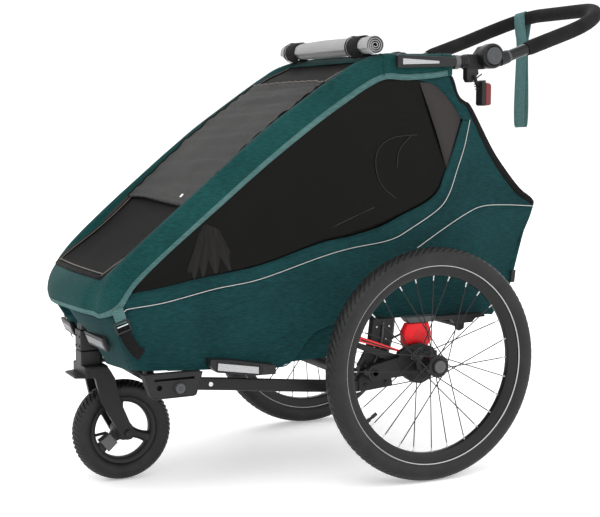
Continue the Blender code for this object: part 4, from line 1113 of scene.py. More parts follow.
def make_window_details(name, sign):
    """Behind the side window: a grey panel, curved seams, the belt's edge and a gathered pocket."""
    high = [(0.02, 0.845), (0.06, 0.842), (0.098, 0.81), (0.125, 0.771)]
    low = [(0.02, 0.843), (0.064, 0.732), (0.078, 0.69), (0.09, 0.656)]
    strip_between(name + "_quarter_panel", high, low, 0.2054, sign, "quarter", 30, 10, 0.0008,
            0.001, cloth=0.0005)
    lines = {
        "outer_seam": [(0.015, 0.733), (-0.041, 0.728), (-0.077, 0.707), (-0.086, 0.67),
                (-0.071, 0.627), (-0.027, 0.591)],
        "inner_seam": [(0.002, 0.733), (-0.028, 0.701), (-0.034, 0.664)],
        "belt_edge": [(-0.089, 0.58), (-0.184, 0.543), (-0.266, 0.502)],
    }
    for label, line in lines.items():
        piece("%s_window_%s" % (name, label), tube(even_line(side_line(line, 0.2022, sign), 50),
                0.0009, 6), "quarter", sharp=60, folds=True)
    top, bottom = [(-0.48, 0.562), (-0.446, 0.548)], [(-0.524, 0.441), (-0.4, 0.46)]
    rows = []
    for k in range(15):
        t = k / 14
        row = []
        for j in range(61):
            u = j / 60
            spread = Vector((0, *top[0])).lerp(Vector((0, *top[1])),
                    u).lerp(Vector((0, *bottom[0])).lerp(Vector((0, *bottom[1])), u), t)
            depth = 0.0026 * sin(2 * pi * (5.5 * u + 0.4 * sin(5 * u))) * ease(t, -0.2,
                    0.5) * ease(0.5 - abs(u - 0.5), 0, 0.2)
            depth -= 0.003 * (1 - ease(0.5 - abs(u - 0.5), 0, 0.14))
            row.append(Vector((sign * (0.203 + 0.6 * depth), spread.y, spread.z)))
        rows.append(row)
    piece(name + "_gathered_pocket", grid(rows), "pocket", sharp=70, cloth=0.0005, folds=True)


def make_recess(name, sign):
    """The darker side of the foot well, set in beside the wheel, and the hem above it."""
    outline = [
        (-0.3, 0.262), (-0.15, 0.268), (-0.15, 0.345), (-0.215, 0.338), (-0.25, 0.318),
        (-0.28, 0.285)]
    plate(name + "_foot_well_side", outline, sign * 0.199, sign * 0.2005, "panel", "chassis")
    hem = [
        (-0.56, 0.2692), (-0.43, 0.262), (-0.322, 0.2553), (-0.29, 0.262), (-0.262, 0.293),
        (-0.24, 0.317), (-0.215, 0.33), (-0.165, 0.342), (-0.11, 0.3455)]
    piece(name + "_body_hem", tube(even_line(side_line(hem, 0.2055, sign), 80), 0.0015, 8), "hood",
            "chassis", sharp=60)
    plate(name + "_tail_buckle", [(0.259, 0.4), (0.271, 0.4), (0.274, 0.428), (0.262, 0.428)],
            sign * 0.2055, sign * 0.2105, "plastic", "chassis", 0.002)


def make_rear_panel():
    """The black cloth of the back, from the luggage wall up to the roof."""
    spine = [
        (0.2602, 0.4), (0.2656, 0.431), (0.292, 0.517), (0.3125, 0.569), (0.308, 0.587),
        (0.271, 0.615), (0.208, 0.688), (0.147, 0.786), (0.113, 0.816), (0.095, 0.856)]
    rows = []
    for p in smooth_line(side_line(spine, 0), 7):
        row = []
        for j in range(49):
            u = 1 - 2 * j / 48
            sag = 0.0035 * (1 - u ** 4) * ease(p.z, 0.42, 0.5) * (1 - ease(p.z, 0.8, 0.85))
            drape = 0.0012 * sin(11 * u + p.z * 20) * (1 - u * u)
            row.append(Vector((0.2045 * u, p.y - sag + drape, p.z)))
        rows.append(row)
    piece("rear_panel_cloth", grid(rows), "black_cloth", replaces=["rear_panel"], sharp=60,
            cloth=CLOTH, folds=True)
    for label, t in (("lower", 8), ("upper", 46)):
        line = [p + Vector((0, 0.0014, 0)) for p in rows[t][2:-2]]
        piece("rear_panel_%s_seam" % label, tube(line, 0.0012, 6, side=UP), "black_webbing",
                sharp=60, folds=True)


make_body()
for side_name, side_sign in SIDES:
    make_side(side_name, side_sign)
    make_window_details(side_name, side_sign)
    make_recess(side_name, side_sign)
make_rear_panel()


# ---------------------------------------------------------------- lower frame and nose

def screw(bm, spot, normal, radius=0.0035, height=0.0016):
    """A round-headed screw with a cross recess, standing on a face."""
    spot, normal = Vector(spot), Vector(normal).normalized()
    side = normal.orthogonal().normalized()
    head = [(1.0, 0.0), (1.0, 0.35), (0.85, 0.75), (0.55, 1.0), (0.3, 1.0), (0.22, 0.55)]
    other = normal.cross(side)
    rows = []
    for r, h in head:
        rows.append([spot + normal * (h * height) + (side * cos(a) + other * sin(a)) * (r * radius)
                for a in around(16)])
    skin(bm, rows, False, True)


def pierced_plate(outline, holes, low, high):
    """A flat plate across X with holes through it."""
    bm = bmesh.new()
    for loop in [outline] + holes:
        verts = [bm.verts.new((low, y, z)) for y, z in loop]
        for a, b in zip(verts, verts[1:] + verts[:1]):
            bm.edges.new((a, b))
    bmesh.ops.triangle_fill(bm, use_beauty=True, edges=bm.edges[:])
    grown = bmesh.ops.extrude_face_region(bm, geom=bm.faces[:], use_keep_orig=True)
    moved = [v for v in grown["geom"] if isinstance(v, bmesh.types.BMVert)]
    bmesh.ops.translate(bm, verts=moved, vec=(high - low, 0, 0))
    return bm


def rounded_bar(path, width, height, name, replaces=()):
    """A bar of the chassis with rounded edges."""
    w, h, e = width / 2, height / 2, 0.0035
    section = [
        (-w, -h + e), (-w + e * 0.3, -h + e * 0.3), (-w + e, -h), (w - e, -h),
        (w - e * 0.3, -h + e * 0.3), (w, -h + e), (w, h - e), (w - e * 0.3, h - e * 0.3),
        (w - e, h), (-w + e, h), (-w + e * 0.3, h - e * 0.3), (-w, h - e)]
    piece(name, sweep(path, section), "tube", "chassis", replaces, 40)


def make_side_frame(name, sign):
    path = [
        (0.2088, -0.505, 0.2384), (0.2105, -0.43, 0.231), (0.213, -0.365, 0.2238),
        (0.2165, -0.29, 0.216), (0.222, -0.203, 0.208), (0.2265, -0.143, 0.2038)]
    path = smooth_line(on_side(path, sign), 5)
    rounded_bar(path, 0.015, 0.0255, name + "_side_bar", [name + "_side_tube"])
    bolts = bmesh.new()
    screw(bolts, (sign * 0.2172, -0.472, 0.2355), (sign, 0, 0), 0.0052, 0.0024)
    screw(bolts, (sign * 0.234, -0.158, 0.2045), (sign, 0, 0), 0.0045, 0.002)
    piece(name + "_side_bar_bolts", bolts, "steel", "chassis", sharp=40, slot="tube")

    outline = [
        (-0.615, 0.2645), (-0.4915, 0.264), (-0.499, 0.24), (-0.506, 0.219), (-0.511, 0.217),
        (-0.595, 0.2165), (-0.599, 0.219), (-0.607, 0.24)]
    slot = [(-0.593, 0.2515), (-0.509, 0.2515), (-0.509, 0.256), (-0.593, 0.256)]
    hole = [(-0.583 + y, 0.238 + z) for y, z in circle(0.0055, 20)]
    body = pierced_plate(outline, [slot, hole], sign * 0.21, sign * 0.2222)
    prism(outline, sign * 0.1962, sign * 0.21, "X", body)
    piece(name + "_bracket_body", body, "soft_plastic", "chassis", [name + "_front_bracket"], 30,
            bevel=0.0009)
    rim = bmesh.new()
    loop = side_line(outline, 0.2222, sign)
    tube(loop, 0.0012, 8, rim, closed=True)
    piece(name + "_bracket_rim", rim, "soft_plastic", "chassis", sharp=60)


def make_release_knob():
    """The knurled knob that pulls to free a drawbar."""
    teeth, rows = 36, []
    profile = [
        (0.0075, 0.21), (0.01, 0.2106), (0.0108, 0.2125), (0.011, 0.215), (0.011, 0.2262),
        (0.0104, 0.2288), (0.0092, 0.2302), (0.005, 0.2305), (0.0042, 0.2298)]
    for r, x in profile:
        row = []
        for i in range(teeth * 4):
            cut = 0.0007 if i % 4 < 2 and 0.212 < x < 0.2295 and (r > 0.009) else 0.0
            turn = 2 * pi * i / (teeth * 4)
            row.append(Vector((x, -0.541 + (r - cut) * cos(turn), 0.235 + (r - cut) * sin(turn))))
        rows.append(row)
    bm = bmesh.new()
    skin(bm, rows, False, True)
    puck(0.0022, 0.2296, 0.2304, 0.0003, 16, "X", (0, -0.541, 0.235), bm)
    piece("drawbar_release_grip", bm, "grey_plastic", "drawbar_release", ["drawbar_release_knob"])


def make_side_reflector(name, sign):
    """A black holder with a bright lens let into its outer face."""
    inner, outer = sign * 0.2062, sign * 0.235
    plate(name + "_side_reflector_body", [(-0.48, 0.2765), (-0.4785, 0.289), (-0.43, 0.2835),
            (-0.335, 0.2655), (-0.335, 0.247), (-0.38, 0.2475), (-0.465, 0.261)], inner, outer,
            "plastic", "chassis", 0.0014, replaces=[name + "_side_reflector"])
    plate(name + "_side_reflector_lens", [(-0.4645, 0.2655), (-0.463, 0.2805), (-0.374, 0.2655),
            (-0.374, 0.251)], sign * 0.2345, sign * 0.2362, "silver", "chassis", 0.0006)
    frame_line = [(-0.4665, 0.2635), (-0.465, 0.2832), (-0.3715, 0.2674), (-0.3715, 0.2492)]
    frame_loop = side_line(frame_line, 0.2352, sign)
    piece(name + "_side_reflector_frame", tube(frame_loop, 0.0012, 8, closed=True), "plastic",
            "chassis", sharp=60)
    piece(name + "_side_reflector_clip", block((min(sign * 0.21, sign * 0.2362), -0.366, 0.2478),
            (max(sign * 0.21, sign * 0.2362), -0.337, 0.2668)), "soft_plastic", "chassis", sharp=30,
            bevel=0.002)


LENS_RIBS = 9


def make_front_reflector(name, sign):
    """A long reflector on each side of the caster's post, its outer end set back a little."""
    low, high = Vector((0, -0.6745, 0.307)), Vector((0, -0.6855, 0.335))
    out = Vector((0, -(high - low).z, (high - low).y)).normalized()
    inner_x, outer_x = 0.052, 0.152
    back = Vector((0, 0.0075, -0.002))

    def bar(profile, first, last, bm):
        rows = []
        for x in (first, last):
            away = back * ((x - inner_x) / (outer_x - inner_x))
            rows.append([Vector((sign * x, p.y, p.z)) + away for p in profile])
        skin(bm, rows, False, True)
        return bm

    body = bar((low + out * -0.0075, low, high, high + out * -0.0075), inner_x, outer_x,
            bmesh.new())
    piece(name + "_front_reflector_body", body, "plastic", "chassis", [name + "_front_reflector"],
            30, bevel=0.0014)
    lens = bmesh.new()
    for k in range(LENS_RIBS):
        a, b = (low.lerp(high, 0.24 + 0.54 * k / LENS_RIBS),
                low.lerp(high, 0.24 + 0.54 * (k + 0.82) / LENS_RIBS))
        bar((a - out * 0.0004, a + out * 0.0012, b + out * 0.0012, b - out * 0.0004),
                inner_x + 0.007, outer_x - 0.007, lens)
    piece(name + "_front_reflector_lens", lens, "dim_silver", "chassis", sharp=30)
    arm = on_side([(0.018, -0.664, 0.316), (0.032, -0.666, 0.317), (0.046, -0.668, 0.318)], sign)
    piece(name + "_front_reflector_arm", sweep(arm, flat_section(0.016, 0.004), UP), "soft_plastic",
            "chassis", sharp=40)


def make_nose_straps(name, sign):
    """The strap that holds the hood's corner, with its ladder buckle."""
    line = [
        (0.2062, -0.658, 0.383), (0.2078, -0.6555, 0.37), (0.208, -0.65, 0.356),
        (0.2078, -0.643, 0.34), (0.2074, -0.634, 0.326), (0.207, -0.625, 0.314),
        (0.2064, -0.614, 0.305)]
    path = smooth_line(on_side(line, sign), 5)
    piece(name + "_nose_strap", sweep(path, flat_section(0.0016, 0.024), SIDEWAYS), "black_webbing",
            "chassis", sharp=50)
    tab_line = smooth_line(on_side([(0.2104, -0.664, 0.399), (0.2104, -0.659, 0.385),
            (0.21, -0.655, 0.37)], sign), 4)
    piece(name + "_hood_tab", sweep(tab_line, flat_section(0.0018, 0.0235), SIDEWAYS), "binding",
            "upper_frame", sharp=50)
    buckle = bmesh.new()
    at, low = Vector((sign * 0.2108, -0.6565, 0.3745)), Vector((sign * 0.2108, -0.65, 0.3545))
    down = (low - at).normalized()
    across = SIDEWAYS.cross(down)
    for t, r in ((0.0, 0.0021), (0.42, 0.0017), (1.0, 0.0021)):
        mid = at.lerp(low, t)
        tube([mid - across * 0.014, mid + across * 0.014], r, 10, buckle, down)
    for edge in (-0.014, 0.014):
        tube([at + across * edge, low + across * edge], 0.002, 10, buckle, across)
    piece(name + "_strap_buckle", buckle, "plastic", "chassis", sharp=50)
    piece(name + "_strap_buckle_bar", tube([at.lerp(low,
            0.4) - across * 0.0115 + Vector((sign * 0.0016, 0, 0)),
            at.lerp(low, 0.4) + across * 0.0115 + Vector((sign * 0.0016, 0, 0))], 0.0014, 10, None,
            down), "steel", "chassis", sharp=50, slot="dark_plastic")
    seam = on_side([(0.1992, -0.67, 0.38), (0.2003, -0.661, 0.35), (0.201, -0.649, 0.31),
            (0.201, -0.638, 0.279)], sign)
    piece(name + "_nose_seam", tube(smooth_line(seam, 6), 0.0012, 6), "panel", "chassis", sharp=60)


def make_caster_looks():
    housing = bmesh.new()
    prism([(-0.02, -0.6835), (0.02, -0.6835), (0.0225, -0.678), (0.0225, -0.642), (0.017, -0.636),
            (-0.017, -0.636), (-0.0225, -0.642), (-0.0225, -0.678)], 0.287, 0.33, "Z", housing)
    prism([(-0.016, -0.68), (0.016, -0.68), (0.019, -0.674), (0.019, -0.646), (0.013, -0.64),
            (-0.013, -0.64), (-0.019, -0.646), (-0.019, -0.674)], 0.33, 0.344, "Z", housing)
    piece("caster_housing", housing, "plastic", "chassis", sharp=30, bevel=0.0022)
    screws = bmesh.new()
    for z in (0.296, 0.316):
        screw(screws, (0.012, -0.6837, z), (0, -1, 0), 0.0026)
        screw(screws, (-0.012, -0.6837, z), (0, -1, 0), 0.0026)
        screw(screws, (0.0227, -0.66, z), (1, 0, 0), 0.0022)
    piece("caster_housing_screws", screws, "anodised", "chassis", sharp=40, slot="dark_plastic")
    piece("caster_lock_grip", lathe([(0, 0.3484), (0.0078, 0.3484), (0.0078, 0.3556),
            (0.0112, 0.357), (0.0124, 0.359), (0.0124, 0.365), (0.0112, 0.3672), (0.009, 0.368),
            (0, 0.368)], 40, False, "Z", (0, CASTER_Y, 0)), "grey_plastic", "caster_lock",
            ["caster_lock_knob"])

    leg = [
        (-0.674, 0.254), (-0.6715, 0.244), (-0.66, 0.229), (-0.649, 0.18), (-0.611, 0.112),
        (-0.6045, 0.099), (-0.595, 0.0945), (-0.585, 0.095), (-0.578, 0.101), (-0.577, 0.111),
        (-0.585, 0.126), (-0.608, 0.182), (-0.618, 0.229), (-0.629, 0.248), (-0.633, 0.254)]
    fork = bmesh.new()
    for sign in (1, -1):
        prism(leg, sign * 0.0352, sign * 0.0474, "X", fork)
    crown = [
        (-0.043, -0.682), (0.043, -0.682), (0.046, -0.679), (0.046, -0.635), (0.043, -0.632),
        (-0.043, -0.632), (-0.046, -0.635), (-0.046, -0.679)]
    prism(crown, 0.233, 0.2565, "Z", fork)
    neck = [
        (-0.021, -0.683), (0.021, -0.683), (0.0235, -0.678), (0.0235, -0.642), (0.018, -0.636),
        (-0.018, -0.636), (-0.0235, -0.642), (-0.0235, -0.678)]
    prism(neck, 0.256, 0.2858, "Z", fork)
    piece("caster_fork_body", fork, "plastic", "caster", ["caster_fork"], 30, bevel=0.0012,
            segments=3)
    plate("caster_fork_flange", [(-0.036, -0.702), (0.036, -0.702), (0.044, -0.684),
            (0.044, -0.681), (-0.044, -0.681), (-0.044, -0.684)], 0.233, 0.2375, "plastic",
            "caster", 0.001, axis="Z")
    bolts = bmesh.new()
    for sign in (1, -1):
        puck(0.0085, sign * 0.0468, sign * 0.053, 0.001, 32, "X", (0, FRONT_AXLE_Y, FRONT_RADIUS),
                bolts)
        puck(0.005, sign * 0.0505, sign * 0.0537, 0.0008, 6, "X", (0, FRONT_AXLE_Y, FRONT_RADIUS),
                bolts)
    tube([(-0.052, FRONT_AXLE_Y, FRONT_RADIUS), (0.052, FRONT_AXLE_Y, FRONT_RADIUS)], 0.0049, 16,
            bolts, UP)
    piece("front_axle_ends", bolts, "anodised", "caster", ["front_axle_bolt"], 30, slot="tube")


# ---------------------------------------------------------------- suspension

def make_suspension(name, sign):
    def x(value):
        return sign * value

    plate(name + "_suspension_post", [(-0.109, 0.345), (-0.058, 0.345), (-0.064, 0.3),
            (-0.078, 0.262), (-0.09, 0.24), (-0.122, 0.236), (-0.126, 0.262), (-0.114, 0.3)],
            x(0.218), x(0.236), "tube", "chassis", 0.002)
    rivets = bmesh.new()
    for y, z in ((-0.07, 0.328), (-0.1, 0.328), (-0.078, 0.3), (-0.106, 0.284), (-0.09, 0.262)):
        screw(rivets, (x(0.2362), y, z), (sign, 0, 0), 0.0022, 0.0012)
    piece(name + "_suspension_rivets", rivets, "steel", "chassis", sharp=40)
    hose = smooth_line(on_side([(0.24, -0.086, 0.338), (0.2402, -0.088, 0.312),
            (0.2392, -0.093, 0.285), (0.2388, -0.104, 0.258), (0.238, -0.118, 0.236)], sign), 5)
    piece(name + "_suspension_hose", tube(hose, 0.0019, 10), "grey_plastic", "chassis", sharp=60,
            slot="cable_rubber")
    brace = side_line([(-0.138, 0.244), (-0.118, 0.276), (-0.095, 0.308)], 0.23, sign)
    rounded_bar(brace, 0.009, 0.017, name + "_suspension_brace")

    plate(name + "_spring_seat", [(-0.034, 0.344), (0.044, 0.344), (0.04, 0.331), (-0.022, 0.331)],
            x(0.216), x(0.242), "grey_plastic", "chassis", 0.0018)
    plate(name + "_rear_bracket", [(0.046, 0.341), (0.172, 0.34), (0.176, 0.332), (0.15, 0.33),
            (0.142, 0.321), (0.098, 0.321), (0.09, 0.33), (0.046, 0.333)], x(0.216), x(0.236),
            "plastic", "chassis", 0.0018)

    buffer = bmesh.new()
    outline = [
        (-0.027, 0.273), (0.024, 0.273), (0.035, 0.289), (0.0355, 0.308), (0.029, 0.33),
        (-0.024, 0.33), (-0.0335, 0.313), (-0.0335, 0.289)]
    facets = [
        (0.218, 0.9), (0.22, 0.98), (0.2215, 1.0), (0.2345, 1.0), (0.2372, 0.97), (0.24, 0.78)]
    rows = [[Vector((x(a), 0.001 + (y - 0.001) * s, 0.3015 + (z - 0.3015) * s)) for y, z in outline]
            for a, s in facets]
    skin(buffer, rows, False, True)
    buffer_piece = piece(name + "_elastomer_block", buffer, "red_rubber", "chassis",
            [name + "_elastomer"], 30, bevel=0.0016, segments=3)
    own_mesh(buffer_piece)

    plate(name + "_arm_blade", [(-0.15, 0.308), (-0.146, 0.313), (-0.05, 0.277), (-0.046, 0.273),
            (-0.052, 0.2725), (-0.15, 0.302)], x(0.244), x(0.25), "red_plastic", name + "_arm",
            0.0012)
    # A thin black strip on the blade's face: painted shade of the groove along it.
    plate(name + "_arm_groove_shade", [(-0.146, 0.3048), (-0.145, 0.3078), (-0.064, 0.279),
            (-0.065, 0.2768)], x(0.2498), x(0.2506), "plastic", name + "_arm")
    plate(name + "_arm_rail", [(-0.152, 0.301), (-0.054, 0.266), (-0.04, 0.25), (-0.056, 0.246),
            (-0.152, 0.288)], x(0.244), x(0.249), "tube", name + "_arm", 0.0012)

    cluster = [
        (-0.058, 0.274), (-0.03, 0.288), (-0.004, 0.29), (0.025, 0.28), (0.036, 0.261),
        (0.034, 0.233), (0.018, 0.211), (-0.003, 0.202), (-0.024, 0.206), (-0.04, 0.216),
        (-0.053, 0.23), (-0.062, 0.252)]
    plate(name + "_axle_carrier", cluster, x(0.2465), x(0.263), "plastic", name + "_arm", 0.0022,
            segments=3)
    fins = bmesh.new()
    for k, r in enumerate((0.0215, 0.0262, 0.031)):
        arc = [Vector((x(0.2636 - 0.0004 * k), r * cos(a), WHEEL_RADIUS + r * sin(a)))
                for a in (radians(95 + 8 * i) for i in range(10))]
        tube(arc, 0.0012, 8, fins)
    piece(name + "_carrier_fins", fins, "grey_plastic", name + "_arm", sharp=60)
    bolts = bmesh.new()
    for y, z in ((-0.046, 0.262), (0.02, 0.266), (-0.03, 0.219), (0.014, 0.222)):
        screw(bolts, (x(0.263), y, z), (sign, 0, 0), 0.0036, 0.002)
    piece(name + "_carrier_bolts", bolts, "anodised", name + "_arm", sharp=40)
    box_outline = [
        (-0.144, 0.219), (-0.114, 0.246), (-0.066, 0.242), (-0.06, 0.199), (-0.098, 0.196),
        (-0.142, 0.19)]
    plate(name + "_pivot_housing", box_outline, x(0.218), x(0.237), "plastic", "chassis", 0.0024)
    caps = bmesh.new()
    screw(caps, (x(0.2372), -0.128, 0.206), (sign, 0, 0), 0.004, 0.002)
    screw(caps, (x(0.2372), -0.078, 0.208), (sign, 0, 0), 0.004, 0.002)
    puck(0.01, x(0.261), x(PIN_END), 0.001, 32, "X", (0, ARM_Y, ARM_Z), caps)
    piece(name + "_pivot_screws", caps, "anodised", "chassis", sharp=40)


for side_name, side_sign in SIDES:
    make_side_frame(side_name, side_sign)
    make_side_reflector(side_name, side_sign)
    make_front_reflector(side_name, side_sign)
    make_nose_straps(side_name, side_sign)
    make_suspension(side_name, side_sign)
make_release_knob()
make_caster_looks()


# ---------------------------------------------------------------- handlebar and roof fittings

def handle_height(y):
    bend = max(0.0, y - (GRIP_BAR_Y - GRIP_CORNER - 0.03))
    return 0.924 + GRIP_RISE * (y - 0.3) + 0.596 * bend ** 2


def handle_path(start_y, corner_steps=14):
    corner_y = GRIP_BAR_Y - GRIP_CORNER
    half = [(HANDLE_X, start_y + (corner_y - start_y) * k / 12) for k in range(12)]
    for i in range(corner_steps + 1):
        turn = pi / 2 * i / corner_steps
        half.append((HANDLE_X - GRIP_CORNER + GRIP_CORNER * cos(turn),
                corner_y + GRIP_CORNER * sin(turn)))
    left = [Vector((x, y, handle_height(y))) for x, y in half]
    return left + on_side(reversed(left), -1)


def make_handlebar():
    piece("handle_bar", tube(handle_path(0.234), 0.0125, 24), "anodised", "handlebar",
            ["handle_tube"], 60, slot="tube")
    path = handle_path(0.292)
    radius = 0.0165
    rows = []
    count = len(path)
    for i, point in enumerate(path):
        along = (path[min(i + 1, count - 1)] - path[max(i - 1, 0)]).normalized()
        across = along.orthogonal() if i == 0 else across - along * across.dot(along)
        across.normalize()
        lift = along.cross(across)
        ends = min(i, count - 1 - i)
        size = radius * (0.9 if ends == 0 else 1.0)
        rows.append([point + (across * cos(a) + lift * sin(a)) * (size
                + ruffle(point + across * cos(a) * 0.02, 0.0002, 60)) for a in around(28)])
    foam = bmesh.new()
    skin(foam, rows, False, True)
    grip = piece("grip_foam", foam, "foam", "handlebar", ["foam_grip"], 60)

    for name, sign in SIDES:
        hub = [
            (0.004, 0.1932), (0.0245, 0.1932), (0.0268, 0.1942), (0.0275, 0.1962), (0.0275, 0.213),
            (0.0268, 0.2158), (0.025, 0.2174), (0.0222, 0.2178), (0.0206, 0.2168), (0.0202, 0.214),
            (0.02, 0.206), (0.004, 0.2056)]
        disc = lathe([(r, sign * x) for r, x in hub], 64, True, "X", (0, HANDLE_Y, HANDLE_Z))
        socket = [Vector((sign * HANDLE_X, y, handle_height(y)))
                for y in (0.22, 0.226, 0.233, 0.24)]
        tube(socket, 0.0148, 24, disc)
        piece(name + "_handle_joint", disc, "plastic", "handlebar", [name + "_handle_hub"])
        collar = [Vector((sign * HANDLE_X, y, handle_height(y))) for y in (0.2395, 0.2425, 0.245)]
        piece(name + "_handle_collar", tube(collar, 0.0138, 24), "grey_plastic", "handlebar")

        rows = []
        face = [
            (0.0001, 0.2222), (0.006, 0.2222), (0.007, 0.2228), (0.012, 0.2229), (0.013, 0.2222),
            (0.0165, 0.2224), (0.0182, 0.2216), (0.019, 0.22), (0.019, 0.212), (0.0001, 0.2118)]
        for r, x in face:
            row = []
            for i in range(96):
                turn = 2 * pi * i / 96
                rib = 0.00045 if i % 4 < 2 and 0.0125 < r < 0.017 else 0.0
                row.append(Vector((sign * (x + rib), HANDLE_Y + r * cos(turn),
                        HANDLE_Z + r * sin(turn))))
            rows.append(row)
        button = bmesh.new()
        skin(button, rows, False, True)
        piece(name + "_tilt_button_cap", button, "grey_plastic", name + "_tilt_button",
                [name + "_handle_button"])


def make_wrist_strap():
    """A webbing loop round the handlebar's right corner, hanging down."""
    turn = radians(63)
    corner_y = GRIP_BAR_Y - GRIP_CORNER
    y = corner_y + GRIP_CORNER * sin(turn)
    step = 0.001
    slope = (handle_height(y + step) - handle_height(y)) / step
    wide = Vector((sin(turn), cos(turn), slope * cos(turn))).normalized()
    away = Vector((-cos(turn), sin(turn), 0))
    over = away.cross(wide)
    if over.z < 0:
        over = -over
    centre = Vector((-(HANDLE_X - GRIP_CORNER + GRIP_CORNER * cos(turn)), y, handle_height(y)))
    radius = 0.0182
    path = [centre + away * radius * cos(pi * i / 16) + over * radius * sin(pi * i / 16)
            for i in range(17)]
    half = [
        (0.0175, -0.012), (0.0115, -0.035), (0.0045, -0.06), (0.006, -0.11), (0.01, -0.17),
        (0.012, -0.225), (0.0095, -0.26), (0.0045, -0.2705)]
    fine = smooth_line(half, 5)
    path += [centre - away * p[0] + UP * p[1] for p in fine]
    path += [centre + away * p[0] + UP * p[1] for p in reversed(fine)]
    strap = piece("wrist_loop", sweep(path, flat_section(0.0285, 0.0015), wide, True), "webbing",
            "handlebar", ["wrist_strap"], 50)
    stitch = bmesh.new()
    for edge in (-0.0112, 0.0112):
        for face in (0.0009, -0.0009):
            line = [p + wide * edge for p in path]
            out = []
            for i, p in enumerate(line):
                along = (line[(i + 1) % len(line)] - line[i - 1]).normalized()
                out.append(p + along.cross(wide).normalized() * face)
            stitches(out, 0.003, 0.0022, 0.0003, stitch)
    seams = piece("wrist_loop_stitches", stitch, "binding", "handlebar")
    tack = bmesh.new()
    spot = centre - UP * 0.064
    for k in range(3):
        z = -0.004 * k
        middle = spot + UP * z + away * 0.0056
        stitches([middle - wide * 0.009, middle + wide * 0.009], 0.0028, 0.0012, 0.0004, tack)
    tacks = piece("wrist_loop_tack", tack, "binding", "handlebar")


ROLL_Y, ROLL_Z, ROLL_RADIUS, ROLL_HALF = -0.0935, 0.9215, 0.0226, 0.212
ROLL_STRAPS = (-0.16, 0.146)


def roll_size(x):
    """The roll is drawn in under its two straps and slack between them."""
    pinch = sum((0.11 * (1 - ease(abs(x - at), 0.01, 0.048)) for at in ROLL_STRAPS))
    return 1.0 - pinch + 0.05 * (1 - ease(abs(x), 0.0, 0.12)) - 0.03 * ease(abs(x), 0.19, 0.212)


def make_roll():
    """The rain cover: one long sheet wound four times round itself, painted shade between its
    turns.
    """
    turns, per_turn, columns = 4, 48, 44
    pitch = (ROLL_RADIUS - 0.004) / turns

    def wound(between, half):
        """Rows of the spiral; between is the share of the gap to the next turn."""
        rows = []
        for i in range(turns * per_turn + 1):
            t = i / (turns * per_turn)
            angle = 2 * pi * i / per_turn + radians(200)
            radius = 0.0036 + (ROLL_RADIUS - 0.004) * t - between * pitch
            row = []
            for j in range(columns + 1):
                x = half * (2 * j / columns - 1)
                crease = 0.0004 * noise.noise(Vector((x * 22, sin(angle) * 2.2, cos(angle) * 2.2)))
                r = max(0.0016, radius * roll_size(x) + crease)
                row.append(Vector((x, ROLL_Y + r * cos(angle) * 1.02,
                        ROLL_Z - 0.0008 + r * sin(angle) * 0.97)))
            rows.append(row)
        return rows

    rows = wound(0.0, ROLL_HALF)
    roll = piece("rain_cover_roll", grid(rows), "roll", "upper_frame", ["rolled_rain_cover"], 60,
            cloth=0.0015)
    # A black sheet halfway in the gaps between the turns: painted shade between them.
    gap_shade = piece("rain_cover_gap_shade", grid(wound(0.5, ROLL_HALF - 0.0012)), "black_cloth",
            "upper_frame", sharp=60, slot="grey_cloth", cloth=0.002, offset=0)
    for k, at in enumerate(ROLL_STRAPS):
        r = ROLL_RADIUS * 0.93
        band = [
            (r, at - 0.0235), (r + 0.0013, at - 0.024), (r + 0.002, at - 0.022),
            (r + 0.002, at + 0.022), (r + 0.0013, at + 0.024), (r, at + 0.0235)]
        strap = lathe(band, 56, True, "X", (0, ROLL_Y, ROLL_Z - 0.0008))
        piece("roll_strap_%d" % k, strap, "black_webbing", "upper_frame", sharp=50,
                slot="black_webbing")
        toggle = bmesh.new()
        top = Vector((at + (0.004 if k else 0.016), ROLL_Y - 0.004, ROLL_Z + 0.0185))
        loop = [top + Vector((0.017 * cos(a), 0.006 * sin(a), 0.0012 * sin(2 * a)))
                for a in around(20)]
        tube(loop, 0.0024, 10, toggle, UP, True)
        piece("roll_toggle_%d" % k, toggle, "soft_plastic", "upper_frame", sharp=50)
        cord = lathe([(r + 0.0016, at - 0.029), (r + 0.003, at - 0.0295), (r + 0.0032, at - 0.0275),
                (r + 0.0018, at - 0.027)], 56, True, "X", (0, ROLL_Y, ROLL_Z - 0.0008))
        piece("roll_elastic_%d" % k, cord, "black_webbing", "upper_frame", sharp=50,
                slot="black_webbing")


